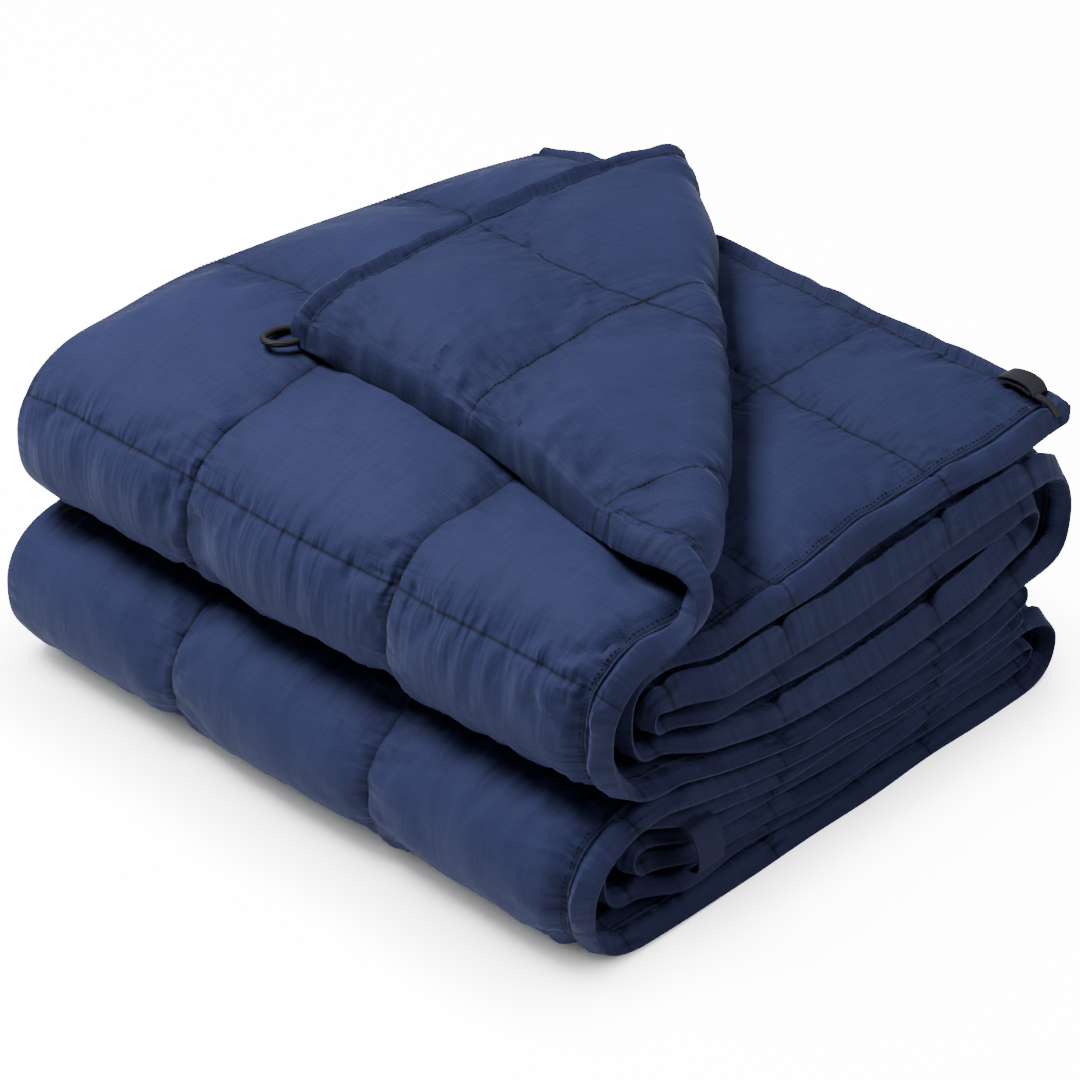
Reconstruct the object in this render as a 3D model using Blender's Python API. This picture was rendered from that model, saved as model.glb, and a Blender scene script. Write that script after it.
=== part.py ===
"""A weighted blanket, quilted in pockets and folded into a stack of two bundles.

Metres, +Z up. +X runs along the near side of the stack, +Y away from it. The origin is under the middle of the
stack, on the surface that it lies on. Each bundle is the blanket doubled and then folded in three: a back-and-forth
section of six layers in XZ, carried along Y. The top layer's near right corner is turned back on top.

The cloth is laid out flat first, in (u, y): u runs along the section from the turned-back end of the top layer, and
y from the near edge. Each flat point then goes to its place in the folds, and is thickened to both sides.
"""
import math

import bmesh
import bpy
import numpy as np
from mathutils import Vector

CM = 0.01
GAP = 0.04                      # cm between pieces that touch

# Driving sizes of the folded stack, in cm
WIDTH = 40.6                    # along X, left folds to right ends
DEPTH = 42.6                    # along Y, near edge to far edge
BAND = 1.6                      # width of the bound edge
SEAM_ROWS = (BAND, 14.8, 29.2, 41.2)    # quilting lines that run along X
STATIONS = (8.0, 21.0, 34.0)    # where the tables below give heights and thicknesses
ORIGIN_X = 19.98                # middle of the stack, moved to the world's origin
ORIGIN_Y = 20.98

# Layers, numbered from the bottom: height of the middle and thickness at each station,
# and how far its near edge stands out past the others
LAYER_COLUMNS = ("z_left", "z_mid", "z_right", "t_left", "t_mid", "t_right", "reach")
UPPER_LAYERS = (
    (9.62, 7.10, 8.00, 0.95, 0.95, 1.35, 0.10),
    (10.75, 9.10, 10.05, 1.15, 2.70, 2.45, -0.15),
    (12.00, 11.55, 12.45, 1.10, 1.90, 1.90, -0.35),
    (13.95, 14.35, 15.10, 2.50, 3.30, 2.90, 0.25),
    (16.20, 17.15, 17.50, 1.60, 1.60, 1.50, 0.15),
    (18.05, 18.85, 18.95, 1.85, 1.60, 1.30, 0.30),
)
LOWER_LAYERS = (
    (0.60, 0.30, 0.35, 1.45, 1.20, 1.25, 0.0),
    (2.25, 1.62, 1.78, 1.40, 1.02, 1.10, -0.40),
    (3.72, 2.70, 2.96, 1.40, 1.02, 1.10, -0.15),
    (5.20, 3.78, 4.15, 1.40, 1.02, 1.10, -0.45),
    (6.70, 4.86, 5.34, 1.40, 1.02, 1.10, 0.05),
    (8.20, 5.93, 6.48, 1.40, 1.00, 1.05, 0.15),
)
# Round folds: layer it leaves, layer it joins, x where the fold starts, x of its tip, thickness at the tip,
# how far the tip hangs, where its quilting lines are as parts of the turn, and how many steps the turn has
FOLD_COLUMNS = ("start", "end", "x_root", "x_tip", "thick", "sag", "seams", "steps")
UPPER_FOLDS = (
    (5, 0, 8.2, 3.45, 2.40, 0.0, (0.33, 0.84), 9),
    (0, 3, 34.5, 38.95, 2.00, 1.1, (0.02, 0.98), 7),
    (3, 2, 8.6, 7.45, 1.00, 0.0, (0.0, 1.0), 4),
    (2, 1, 35.2, 36.80, 1.20, 0.4, (0.0, 1.0), 5),
    (1, 4, 8.0, 5.85, 1.20, 0.0, (0.0, 1.0), 6),
)
LOWER_FOLDS = (
    (5, 0, 7.0, 2.00, 2.20, 0.1, (0.10, 0.88), 8),
    (0, 3, 36.0, 38.80, 1.50, 0.1, (0.02, 0.98), 6),
    (3, 2, 7.2, 6.20, 0.80, 0.0, (0.0, 1.0), 4),
    (2, 1, 36.0, 37.00, 0.80, 0.0, (0.0, 1.0), 4),
    (1, 4, 6.4, 4.15, 1.20, 0.0, (0.0, 1.0), 5),
)
UPPER_END_TOP = 40.3            # free right end of the turned-back layer
UPPER_END_UNDER = 38.9          # free right end of the layer under it
LOWER_END_TOP = 36.6
LOWER_END_UNDER = 36.2
SEAMS_X = (16.0, 28.4)          # quilting lines that run along Y

# Turned-back corner
FLAP_LINE = 8.8                 # x - y on the fold line
FLAP_BEND = 1.45                # radius of the fold
FLAP_SPREAD = 3.8               # cloth on each side of the line that goes into the fold
FLAP_BULGE = 2.1                # how far the fold stands out past its line
FLAP_MIDDLE = 28.5              # middle of the fold line, along it
FLAP_HALF = 24.0                # half its length
FLAP_REACH = 20.0               # from the fold line to the turned-back corner
FLAP_SETTLE = 0.15              # how much lower the corner lies than the fold
FLAP_END_DROP = 0.15            # how much lower the end lies that runs along X
FLAP_SIDE_DROP = 0.75           # how much lower the edge lies that runs along Y
FLAP_SIDE_TUCK = 2.5            # how much of that edge is tucked in
FLAP_UNDERSIDE = 0.8            # how puffed the side is that lies on the layer below
FLAP_END_SPREAD = 0.55          # part of the spread that is left at the fold's ends
FLAP_INSIDE = 0.6               # most thickness inside the fold, as a part of its radius
FOLD_EASE = 0.05                # how far the cloth is drawn back from its bound edge in the fold
FLAP_CUTS = (-3.8, -1.4, -0.7, 0.0, 0.7, 1.4)   # where the flat cloth is cut for the fold, past the line

# Shape of the pile
STACK_TOP = 19.0
FAR_DROP = 1.7                  # how much lower the top is at the far right corner
FAR_DROP_DEPTH = 14.0           # over which it drops
FAR_RISE = 2.1                  # how much higher it is at the far left
RISE_X = (3.5, 16.0)            # x and y over which that rise comes on
RISE_Y = (4.0, 34.0)
FAR_EDGE = 0.5                  # how far the far edge rounds down
FAR_EDGE_DEPTH = 4.0
NEAR_DROP = 0.25                # how much lower the top is at the near edge
NEAR_DROP_DEPTH = 3.0
UNEVEN = 0.16                   # how wavy the top is, and how long its waves are along X and Y
UNEVEN_X = 5.3
UNEVEN_Y = 6.1
LEAN = 1.9                      # how much further the left folds stand out at the far edge
FAR_SLANT = 2.4                 # how much shorter the cloth is at the far right corner
REACH_DEPTH = 7.0               # over which a near edge is let out

# Thickness over a pocket, as parts of the layer's own
SEAM_PART = 0.24                # left at a seam
INNER_SEAM_PART = 0.48          # left at a seam inside the bundle, where the layers press together
SHOWN_CROWN = 1.45              # how much more the pockets rise on faces that show
BAND_CROWN = 0.50               # in the middle of the bound edge
EDGE_PART = 0.35                # left at a free edge
EDGE_ROUND = 0.7                # cm over which a free edge is rounded
CROWN = 0.62                    # how square a pocket's crown is
ROUNDNESS = 0.82                # how square a fold is; 1 is an oval

# Elastic loop at the turned-back corner
LOOP_ROOT = (12.3, 30.7)        # where its two ends meet the corner
LOOP_WAY = (-1.0, 0.45, 0.0)
LOOP_LENGTH = 2.6
LOOP_WIDTH = 1.5
LOOP_CORD = 0.4
LOOP_OPEN = 0.45                # half the gap between its ends, as a turn
LOOP_STEPS = 12
LOOP_CLEAR = 0.25               # it lies over a pocket that rises beside it
CORD_SIDES = 8

# Ribbon tabs
RIBBON_THICK = 0.12
RIBBON_WAY = (1.0, 0.0, 0.0)    # the way both ribbons' width runs
CORNER_TAB_WIDTH = 1.2
CORNER_TAB_EDGE = 0.85          # where its height is taken, from the free end
CORNER_TAB_IN = 0.75            # and how far further in its middle is
CORNER_TAB = ((4.4, 0.06), (3.9, 0.30), (3.1, 0.52), (2.2, 0.54), (1.5, 0.34), (1.15, 0.06), (0.6, 0.05))   # y, height
SIDE_TAB_WIDTH = 1.9
SIDE_TAB_X = 9.7
SIDE_TAB = ((-0.2, 6.15), (-0.65, 5.95), (-0.85, 5.2), (-0.85, 4.1), (-0.65, 3.3), (-0.2, 3.1))    # y, z

# Steps of the mesh
UPPER_STEPS = (3, 2, 2, 3, 4, 4)        # for each layer, in a pocket along X
LOWER_STEPS = (3, 2, 2, 2, 2, 3)
ROW_STEPS = (4, 4, 3)                   # for each pocket along Y
BAND_ROWS = (0.0, 0.7)
CORNER_CUT = 0.60               # how far a free corner is rounded in
LINK_STEPS = 4
SAMPLE = 0.1                    # step of the worked-out section
SMOOTH = 5                      # samples of smoothing each way

NAVY = (0.022, 0.038, 0.150)
BLACK = (0.012, 0.012, 0.014)


def layer_curve(layers, number, x):
    """Height, thickness and reach of a layer at x, from a parabola through its three stations."""
    row = dict(zip(LAYER_COLUMNS, layers[number]))
    left, middle, right = STATIONS
    one, two, three = row["z_left"], row["z_mid"], row["z_right"]
    z = one * (x - middle) * (x - right) / ((left - middle) * (left - right))
    z += two * (x - left) * (x - right) / ((middle - left) * (middle - right))
    z += three * (x - left) * (x - middle) / ((right - left) * (right - middle))
    thick = np.interp(x, STATIONS, (row["t_left"], row["t_mid"], row["t_right"]))
    return z, thick, row["reach"]


def spread(first, last, count):
    """Stations over a pocket, closer together at its quilting lines."""
    return [first + (last - first) * (1.0 - math.cos(math.pi * step / count)) / 2.0 for step in range(count)]


class Section:
    """The back-and-forth line of one bundle: x, z and thickness along u, and where its quilting lines are."""

    def __init__(self, layers, folds, end_top, end_under, steps):
        self.layers = layers
        self.end_top = end_top
        self.samples = []
        self.seams = [BAND]
        self.stations = []
        self.runs = {}
        u, x = 0.0, end_top
        for fold in folds:
            row = dict(zip(FOLD_COLUMNS, fold))
            start, x = self.add_run(row["start"], u, x, row["x_root"], steps)
            u = self.add_fold(row, start, x)
            if row["start"] == 5:
                self.left_fold = (start, u)
        u, x = self.add_run(folds[-1][1], u, x, end_under, steps)
        self.length = u
        self.seams.append(u - BAND)
        self.samples.append((u, x) + tuple(layer_curve(layers, folds[-1][1], x)))
        columns = [np.array(column) for column in zip(*self.samples)]
        self.u = columns[0]
        self.x, self.z, self.thick, self.reach = [self.smooth(column) for column in columns[1:]]
        self.seams = sorted(self.seams)

    def add_run(self, number, u, x, x_next, steps):
        """A flat layer from x to x_next."""
        count = max(2, int(abs(x_next - x) / SAMPLE))
        for run in np.linspace(x, x_next, count, endpoint=False):
            self.samples.append((u + abs(run - x), run) + tuple(layer_curve(self.layers, number, run)))
        stops = sorted([x, x_next] + list(SEAMS_X), reverse=x_next < x)
        if u == 0.0:
            stops[0] -= BAND
        elif number == 4:
            stops[-1] -= BAND
        for first, last in zip(stops, stops[1:]):
            cells = max(1, round(abs(last - first) * steps[number] / (SEAMS_X[1] - SEAMS_X[0])))
            self.stations.extend(u + abs(stop - x) for stop in spread(first, last, cells))
        self.seams.extend(u + abs(seam - x) for seam in SEAMS_X)
        self.runs[number] = (u, x, math.copysign(1.0, x_next - x))
        return u + abs(x_next - x), x_next

    def add_fold(self, row, u, x):
        """A round fold from one layer to another, an oval turned a little square."""
        z_from, thick_from, reach_from = layer_curve(self.layers, row["start"], x)
        z_to, thick_to, reach_to = layer_curve(self.layers, row["end"], x)
        half = (z_from - z_to) / 2.0
        out = row["x_tip"] - x
        length = math.pi * math.hypot(half, out) / math.sqrt(2.0)
        count = max(8, int(length / SAMPLE))
        for turn in np.linspace(0.0, math.pi, count, endpoint=False):
            side = math.sin(turn) ** ROUNDNESS
            rise = math.copysign(abs(math.cos(turn)) ** ROUNDNESS, math.cos(turn))
            ends = thick_from + (thick_to - thick_from) * turn / math.pi
            thick = ends + (row["thick"] - ends) * math.sin(turn) ** 2
            z = (z_from + z_to) / 2.0 + half * rise - row["sag"] * math.sin(turn) ** 2
            reach = reach_from + (reach_to - reach_from) * turn / math.pi
            self.samples.append((u + length * turn / math.pi, x + out * side, z, thick, reach))
        stops = [0.0] + [seam for seam in row["seams"] if 0.05 < seam < 0.95] + [1.0]
        for first, last in zip(stops, stops[1:]):
            cells = max(1, round((last - first) * row["steps"]))
            self.stations.extend(u + length * stop for stop in np.linspace(first, last, cells, endpoint=False))
        self.seams.extend(u + length * seam for seam in row["seams"])
        return u + length

    @staticmethod
    def smooth(values):
        before = 2.0 * values[0] - values[SMOOTH:0:-1]
        after = 2.0 * values[-1] - values[-2:-SMOOTH - 2:-1]
        kernel = np.hanning(2 * SMOOTH + 3)[1:-1]
        return np.convolve(np.concatenate([before, values, after]), kernel / kernel.sum(), mode="valid")

    def at(self, u):
        """x, z and thickness at u, carried on straight past the free ends."""
        past = max(-u, u - self.length, 0.0)
        return (np.interp(u, self.u, self.x) + past, np.interp(u, self.u, self.z),
                np.interp(u, self.u, self.thick))

    def near_reach(self, u):
        return np.interp(u, self.u, self.reach)


def pocket(value, seams):
    """0 on a quilting line and 1 in the middle of a pocket."""
    index = int(np.searchsorted(seams, value))
    if index == 0 or index == len(seams):
        return 0.0
    part = (value - seams[index - 1]) / (seams[index] - seams[index - 1])
    return max(0.0, math.sin(math.pi * part)) ** CROWN


def edge_round(distance):
    """Thickness left near a free edge, which is rounded."""
    near = min(max(distance / EDGE_ROUND, 0.0), 1.0)
    return EDGE_PART + (1.0 - EDGE_PART) * math.sqrt(1.0 - (1.0 - near) ** 2)


def smooth_step(value, low, high):
    part = min(max((value - low) / (high - low), 0.0), 1.0)
    return part * part * (3.0 - 2.0 * part)


class Cloth:
    """One bundle's cloth: where each flat point goes, and how thick the cloth is there."""

    def __init__(self, section, has_flap):
        self.section = section
        self.has_flap = has_flap

    def fold_over(self, x, y):
        """How far a flat point of the top layer moves along x and y, how high it goes over that layer, and how
        far past the fold line it is."""
        past = (x - y - FLAP_LINE) / math.sqrt(2.0)
        along = ((x + y) / math.sqrt(2.0) - FLAP_MIDDLE) / FLAP_HALF
        middle = max(0.0, 1.0 - along * along)
        spread_here = FLAP_SPREAD * (FLAP_END_SPREAD + (1.0 - FLAP_END_SPREAD) * middle)
        if past <= -spread_here:
            return 0.0, 0.0, 0.0, past
        bulge = FLAP_BULGE * middle
        lead = spread_here + bulge - FLAP_BEND
        path = (past + spread_here) / (2.0 * spread_here) * (2.0 * lead + math.pi * FLAP_BEND)
        turn = (path - lead) / FLAP_BEND
        if past >= spread_here:
            place, height = -past, 2.0 * FLAP_BEND
        elif turn <= 0.0:
            place, height = path - spread_here, 0.0
        elif turn >= math.pi:
            place, height = bulge - FLAP_BEND - (turn - math.pi) * FLAP_BEND, 2.0 * FLAP_BEND
        else:
            place = bulge - FLAP_BEND + FLAP_BEND * math.sin(turn)
            height = FLAP_BEND * (1.0 - math.cos(turn))
        move = (place - past) / math.sqrt(2.0)
        turned = smooth_step(past, FLAP_SPREAD - 1.0, FLAP_SPREAD + 9.0)
        settle = FLAP_SETTLE * smooth_step(past, FLAP_SPREAD, FLAP_REACH)
        settle += FLAP_END_DROP * turned * (1.0 - smooth_step(self.section.end_top - x, 0.0, 4.0))
        settle += FLAP_SIDE_DROP * turned * (1.0 - smooth_step(y, -0.5, 3.0))
        tuck = FLAP_SIDE_TUCK * turned * (1.0 - smooth_step(y, -1.0, 11.0))
        return move + tuck, -move, max(height - settle, 0.0), past

    def place(self, u, y):
        """The middle of the cloth for a flat point, in cm."""
        x, z, _ = self.section.at(u)
        lift = 0.0
        let_out = self.section.near_reach(u) * (1.0 - smooth_step(y, 0.0, REACH_DEPTH))
        if self.has_flap and u < self.section.left_fold[1]:
            flat_x = self.section.end_top - u
            move_x, move_y, lift, past = self.fold_over(flat_x, y)
            let_out *= 1.0 - smooth_step(past, -2.0 * FLAP_SPREAD, 0.0)
            layers = self.section.layers
            z += layer_curve(layers, 5, flat_x + move_x)[0] - layer_curve(layers, 5, flat_x)[0]
            x += move_x
            y += move_y
        scale = (z / STACK_TOP) ** 1.5
        right = min(max(x / WIDTH, 0.0), 1.0)
        z += scale * FAR_RISE * (1.0 - right) * smooth_step(x, *RISE_X) * smooth_step(y, *RISE_Y)
        z -= scale * FAR_DROP * right * smooth_step(y, DEPTH - FAR_DROP_DEPTH, DEPTH)
        z -= scale * FAR_EDGE * smooth_step(y, DEPTH - FAR_EDGE_DEPTH, DEPTH)
        z -= scale * NEAR_DROP * (1.0 - smooth_step(y, 0.0, NEAR_DROP_DEPTH))
        z += scale * UNEVEN * math.sin(x / UNEVEN_X + 0.6) * math.sin(y / UNEVEN_Y + 1.0)
        x -= LEAN * y / DEPTH * max(0.0, 1.0 - 2.0 * x / WIDTH)
        y -= FAR_SLANT * (y / DEPTH) ** 3 * (x / WIDTH) ** 2
        y -= let_out
        return np.array((x - ORIGIN_X, y - ORIGIN_Y, z + lift))

    def frame(self, u, y):
        """The middle point and the cloth's normal, which points out of the stack on its outer layer."""
        step = 0.12
        along_u = self.place(u + step, y) - self.place(u - step, y)
        along_y = self.place(u, y + step) - self.place(u, y - step)
        normal = np.cross(along_y, along_u)
        return self.place(u, y), normal / np.linalg.norm(normal)

    def shown(self, u):
        """How far the outer side shows: on the top of the upper bundle and round both left folds."""
        start, end = self.section.left_fold
        quarter = (end - start) / 4.0
        shown = 1.0 - smooth_step(u, end - quarter, end)
        if not self.has_flap:
            shown *= smooth_step(u, start, start + quarter)
        return shown

    def enclosed(self, u):
        """How far inside the bundle a layer is: not its outside, nor the layer with the second free end."""
        first, last = self.section.runs[3][0], self.section.runs[4][0]
        return smooth_step(u, first, first + 4.0) * (1.0 - smooth_step(u, last - 6.0, last - 2.0))

    def halves(self, u, y):
        """Thickness to the outer and to the inner side of the middle."""
        thick = self.section.at(u)[2]
        across = pocket(u, self.section.seams)
        along = pocket(y, SEAM_ROWS)
        edge = min(y, u, self.section.length - u)
        if edge < BAND:
            crown = BAND_CROWN * pocket(edge, (0.0, BAND)) ** 0.5
        else:
            crown = across * along
        seam_part = SEAM_PART + (INNER_SEAM_PART - SEAM_PART) * self.enclosed(u) * smooth_step(y, BAND, BAND + 4.0)
        share = seam_part + (1.0 - seam_part) * max(crown, BAND_CROWN * (edge < 0.5))
        share *= edge_round(min(edge, DEPTH - y))
        outer = inner = share * thick / 2.0
        outer *= 1.0 + (SHOWN_CROWN - 1.0) * crown * self.shown(u)
        if self.has_flap and u > self.section.runs[4][0]:
            shown = smooth_step(self.section.at(u)[0] - y, FLAP_LINE, FLAP_LINE + 4.0)
            inner *= 1.0 + (SHOWN_CROWN - 1.0) * crown * shown
        if self.has_flap and u < self.section.left_fold[0]:
            past = (self.section.end_top - u - y - FLAP_LINE) / math.sqrt(2.0)
            turned = smooth_step(past, -FLAP_SPREAD, 0.0)
            outer *= 1.0 + (FLAP_UNDERSIDE - 1.0) * turned
            tight = 1.0 - smooth_step(abs(past), FLAP_SPREAD * 0.6, FLAP_SPREAD)
            outer = outer * (1.0 - tight) + min(outer, FLAP_BEND * FLAP_INSIDE) * tight
        return outer, inner


def row_stations(steps):
    """Flat y of each row of points, near edge first."""
    rows = list(BAND_ROWS) + [BAND - GAP / 2.0]
    starts = [BAND + GAP / 2.0] + list(SEAM_ROWS[1:])
    for first, last, count in zip(starts, SEAM_ROWS[1:], steps):
        rows.extend(spread(first, last, count))
    rows.extend([SEAM_ROWS[-1], DEPTH])
    return rows


def flat_cells(cloth, row_steps):
    """The flat cloth as a mesh in (u, y), cut along the lines of the turned-back corner."""
    section = cloth.section
    inside = [u for u in section.stations if BAND + 0.3 < u < section.length - BAND - 0.3]
    ends = list(BAND_ROWS) + [BAND - GAP / 2.0, BAND + GAP / 2.0]
    columns = ends + inside + [section.length - end for end in reversed(ends)]
    rows = row_stations(row_steps)
    flat = bmesh.new()
    grid = [[flat.verts.new((u, y, 0.0)) for y in rows] for u in columns]
    for i in range(len(columns) - 1):
        for j in range(len(rows) - 1):
            flat.faces.new((grid[i][j], grid[i + 1][j], grid[i + 1][j + 1], grid[i][j + 1]))
    for i in (0, -1):
        inward = CORNER_CUT if i == 0 else -CORNER_CUT
        grid[i][0].co += Vector((inward, CORNER_CUT, 0.0))
    if cloth.has_flap:
        for past in FLAP_CUTS:
            reach = section.end_top - FLAP_LINE - past * math.sqrt(2.0)
            everything = flat.verts[:] + flat.edges[:] + flat.faces[:]
            bmesh.ops.bisect_plane(flat, geom=everything, dist=0.01, plane_co=(reach, 0.0, 0.0),
                                   plane_no=(1.0, 1.0, 0.0))
        ease_fold(cloth, flat)
    bmesh.ops.triangulate(flat, faces=flat.faces[:])
    return flat


def ease_fold(cloth, flat):
    """Draws the quilted cloth back a little from its bound edge where the corner is folded."""
    inner = BAND + GAP / 2.0
    for vert in flat.verts:
        past = (cloth.section.end_top - vert.co.x - vert.co.y - FLAP_LINE) / math.sqrt(2.0)
        if abs(past) < FLAP_SPREAD + 1.0:
            if abs(vert.co.y - inner) < GAP / 4.0:
                vert.co.y += FOLD_EASE
            if abs(vert.co.x - inner) < GAP / 4.0 and vert.co.y > BAND:
                vert.co.x += FOLD_EASE


def edge_distance(cloth, point):
    return min(point.y, point.x, cloth.section.length - point.x)


def in_gap(cloth, face):
    return all(abs(edge_distance(cloth, vert.co) - BAND) < GAP / 2.0 + 2.0 * FOLD_EASE for vert in face.verts)


def in_binding(cloth, face):
    return edge_distance(cloth, face.calc_center_median()) < BAND


def thicken(mesh, cloth, flat, chosen):
    """Adds the chosen flat faces to a mesh as a closed thick sheet, and returns its corners by flat point."""
    corners = {}

    def corner(vert):
        if vert.index not in corners:
            middle, normal = cloth.frame(vert.co.x, vert.co.y)
            outer, inner = cloth.halves(vert.co.x, vert.co.y)
            sides = []
            for point in (middle + normal * outer, middle - normal * inner):
                point[2] = max(point[2], 0.0)
                sides.append(mesh.verts.new(point * CM))
            corners[vert.index] = sides
        return corners[vert.index]

    chosen = set(chosen)
    for face in chosen:
        mesh.faces.new([corner(vert)[0] for vert in face.verts])
        mesh.faces.new([corner(vert)[1] for vert in reversed(face.verts)])
        for loop in face.loops:
            if sum(other in chosen for other in loop.edge.link_faces) == 1:
                add_wall(mesh, corner(loop.vert), corner(loop.link_loop_next.vert),
                         tuple(loop.vert.co) < tuple(loop.link_loop_next.vert.co))
    return corners


def add_wall(mesh, one, two, rising):
    """The edge of the sheet between two flat points, cut the same way on both sides of a gap."""
    if rising:
        mesh.faces.new((one[1], two[1], one[0]))
        mesh.faces.new((two[1], two[0], one[0]))
    else:
        mesh.faces.new((one[1], two[1], two[0]))
        mesh.faces.new((one[1], two[0], one[0]))


def far_edge(section, number, flat, corners):
    """Corners on a layer's far edge between the two quilting lines, in order of x."""
    u_start, x_start, way = section.runs[number]
    low, high = sorted(u_start + way * (seam - x_start) for seam in SEAMS_X)
    edge = [vert for vert in flat.verts if vert.co.y > DEPTH - 0.01 and low - 0.01 < vert.co.x < high + 0.01]
    edge.sort(key=lambda vert: way * vert.co.x)
    return [corners[vert.index] for vert in edge]


def join_bundles(mesh, above, below):
    """The cloth carried over from one bundle to the other, as a small round fold at the far edge."""
    for edge in (above, below):
        for one, two in zip(edge, edge[1:]):
            wall = {one[0], one[1], two[0], two[1]}
            found = [face for vert in one for face in vert.link_faces if set(face.verts) <= wall]
            for face in set(found):
                mesh.faces.remove(face)
            for vert, other in (one, two):
                edge_between = mesh.edges.get((one[0], two[1])) or mesh.edges.get((one[1], two[0]))
                if edge_between and not edge_between.link_faces:
                    mesh.edges.remove(edge_between)
    rings = [[(side[1], side[0]) for side in above]]
    for step in range(1, LINK_STEPS):
        turn = math.pi * step / LINK_STEPS
        ring = []
        for top, bottom in zip(above, below):
            points = []
            for index in (1, 0):
                middle = (top[index].co + bottom[index].co) / 2.0
                arm = (top[index].co - bottom[index].co) / 2.0
                out = Vector((0.0, arm.length, 0.0))
                points.append(mesh.verts.new(middle + arm * math.cos(turn) + out * math.sin(turn)))
            ring.append(tuple(points))
        rings.append(ring)
    rings.append([(side[1], side[0]) for side in below])
    for first, second in zip(rings, rings[1:]):
        for (a_out, a_in), (b_out, b_in), (c_out, c_in), (d_out, d_in) in zip(first, first[1:], second[1:], second):
            mesh.faces.new((a_out, b_out, c_out, d_out))
            mesh.faces.new((d_in, c_in, b_in, a_in))
        for end in (0, -1):
            (a_out, a_in), (d_out, d_in) = first[end], second[end]
            mesh.faces.new((a_out, d_out, d_in, a_in))


def finish(name, mesh, material):
    """Turns a mesh into a named object with its material."""
    bmesh.ops.recalc_face_normals(mesh, faces=mesh.faces[:])
    bmesh.ops.triangulate(mesh, faces=[face for face in mesh.faces if len(face.verts) > 3])
    data = bpy.data.meshes.new(name)
    mesh.to_mesh(data)
    mesh.free()
    data.materials.append(material)
    data.shade_smooth()
    data.set_sharp_from_angle(angle=math.radians(60.0))
    made = bpy.data.objects.new(name, data)
    bpy.context.collection.objects.link(made)
    return made


def material(name, colour, roughness):
    made = bpy.data.materials.new(name)
    made.use_nodes = True
    shader = made.node_tree.nodes["Principled BSDF"]
    shader.inputs["Base Color"].default_value = (*colour, 1.0)
    shader.inputs["Roughness"].default_value = roughness
    return made


def make_blanket():
    """The quilted body and the bound edge of each bundle."""
    navy = material("navy cotton", NAVY, 0.8)
    binding_navy = material("navy binding", NAVY, 0.75)
    body = bmesh.new()
    upper = Cloth(Section(UPPER_LAYERS, UPPER_FOLDS, UPPER_END_TOP, UPPER_END_UNDER, UPPER_STEPS), True)
    lower = Cloth(Section(LOWER_LAYERS, LOWER_FOLDS, LOWER_END_TOP, LOWER_END_UNDER, LOWER_STEPS), False)
    edges = []
    for cloth, name, row_steps in ((upper, "binding_upper", ROW_STEPS), (lower, "binding_lower", ROW_STEPS)):
        flat = flat_cells(cloth, row_steps)
        flat.verts.index_update()
        field = [face for face in flat.faces if not in_gap(cloth, face)]
        strip = [face for face in field if in_binding(cloth, face)]
        corners = thicken(body, cloth, flat, set(field) - set(strip))
        number = 0 if cloth is upper else 5
        edges.append(far_edge(cloth.section, number, flat, corners))
        binding = bmesh.new()
        thicken(binding, cloth, flat, strip)
        finish(name, binding, binding_navy)
        flat.free()
    join_bundles(body, *edges)
    finish("quilted_body", body, navy)
    return upper


def ribbon(name, path, across, width, thick, cloth_material):
    """A flat ribbon along a path of points, in cm, with its width in the direction across."""
    mesh = bmesh.new()
    across = Vector(across).normalized() * width / 2.0
    rings = []
    for index, point in enumerate(path):
        before, after = path[max(index - 1, 0)], path[min(index + 1, len(path) - 1)]
        along = (Vector(after) - Vector(before)).normalized()
        out = along.cross(across).normalized() * thick / 2.0
        middle = Vector(point)
        rings.append([mesh.verts.new((middle + side) * CM)
                      for side in (across + out, across - out, -across - out, -across + out)])
    for first, second in zip(rings, rings[1:]):
        for index in range(4):
            mesh.faces.new((first[index], first[index - 1], second[index - 1], second[index]))
    mesh.faces.new(rings[0])
    mesh.faces.new(reversed(rings[-1]))
    finish(name, mesh, cloth_material)


def cord(name, path, radius, cord_material):
    """A round cord along a path of points, in cm."""
    mesh = bmesh.new()
    rings = []
    for index, point in enumerate(path):
        before, after = path[max(index - 1, 0)], path[min(index + 1, len(path) - 1)]
        along = (Vector(after) - Vector(before)).normalized()
        side = along.cross(Vector((0.0, 0.0, 1.0))).normalized() * radius
        rise = side.cross(along).normalized() * radius
        rings.append([mesh.verts.new((Vector(point) + side * math.cos(turn) + rise * math.sin(turn)) * CM)
                      for turn in np.linspace(0.0, 2.0 * math.pi, CORD_SIDES, endpoint=False)])
    for first, second in zip(rings, rings[1:]):
        for index in range(CORD_SIDES):
            mesh.faces.new((first[index], first[index - 1], second[index - 1], second[index]))
    mesh.faces.new(rings[0])
    mesh.faces.new(reversed(rings[-1]))
    finish(name, mesh, cord_material)


def make_loop(cloth, black):
    """The elastic loop at the turned-back corner, an oval lying on the top layer."""
    root = Vector((*LOOP_ROOT, 0.0)) - Vector((ORIGIN_X, ORIGIN_Y, 0.0))
    root.z = top_height(cloth, *LOOP_ROOT) + LOOP_CORD / 2.0 + LOOP_CLEAR
    out = Vector(LOOP_WAY).normalized()
    side = Vector((-out.y, out.x, 0.0))
    path = []
    for step in range(LOOP_STEPS + 1):
        turn = LOOP_OPEN + (2.0 * math.pi - 2.0 * LOOP_OPEN) * step / LOOP_STEPS
        reach = LOOP_LENGTH / 2.0 * (1.0 - math.cos(turn))
        path.append(root + out * reach + side * (LOOP_WIDTH / 2.0 * math.sin(turn)))
    cord("elastic_loop", path, LOOP_CORD / 2.0, black)


def top_height(cloth, x, y):
    """Height of the top layer's upper face."""
    u = cloth.section.end_top - x
    return cloth.place(u, y)[2] + cloth.halves(u, y)[0]


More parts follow.
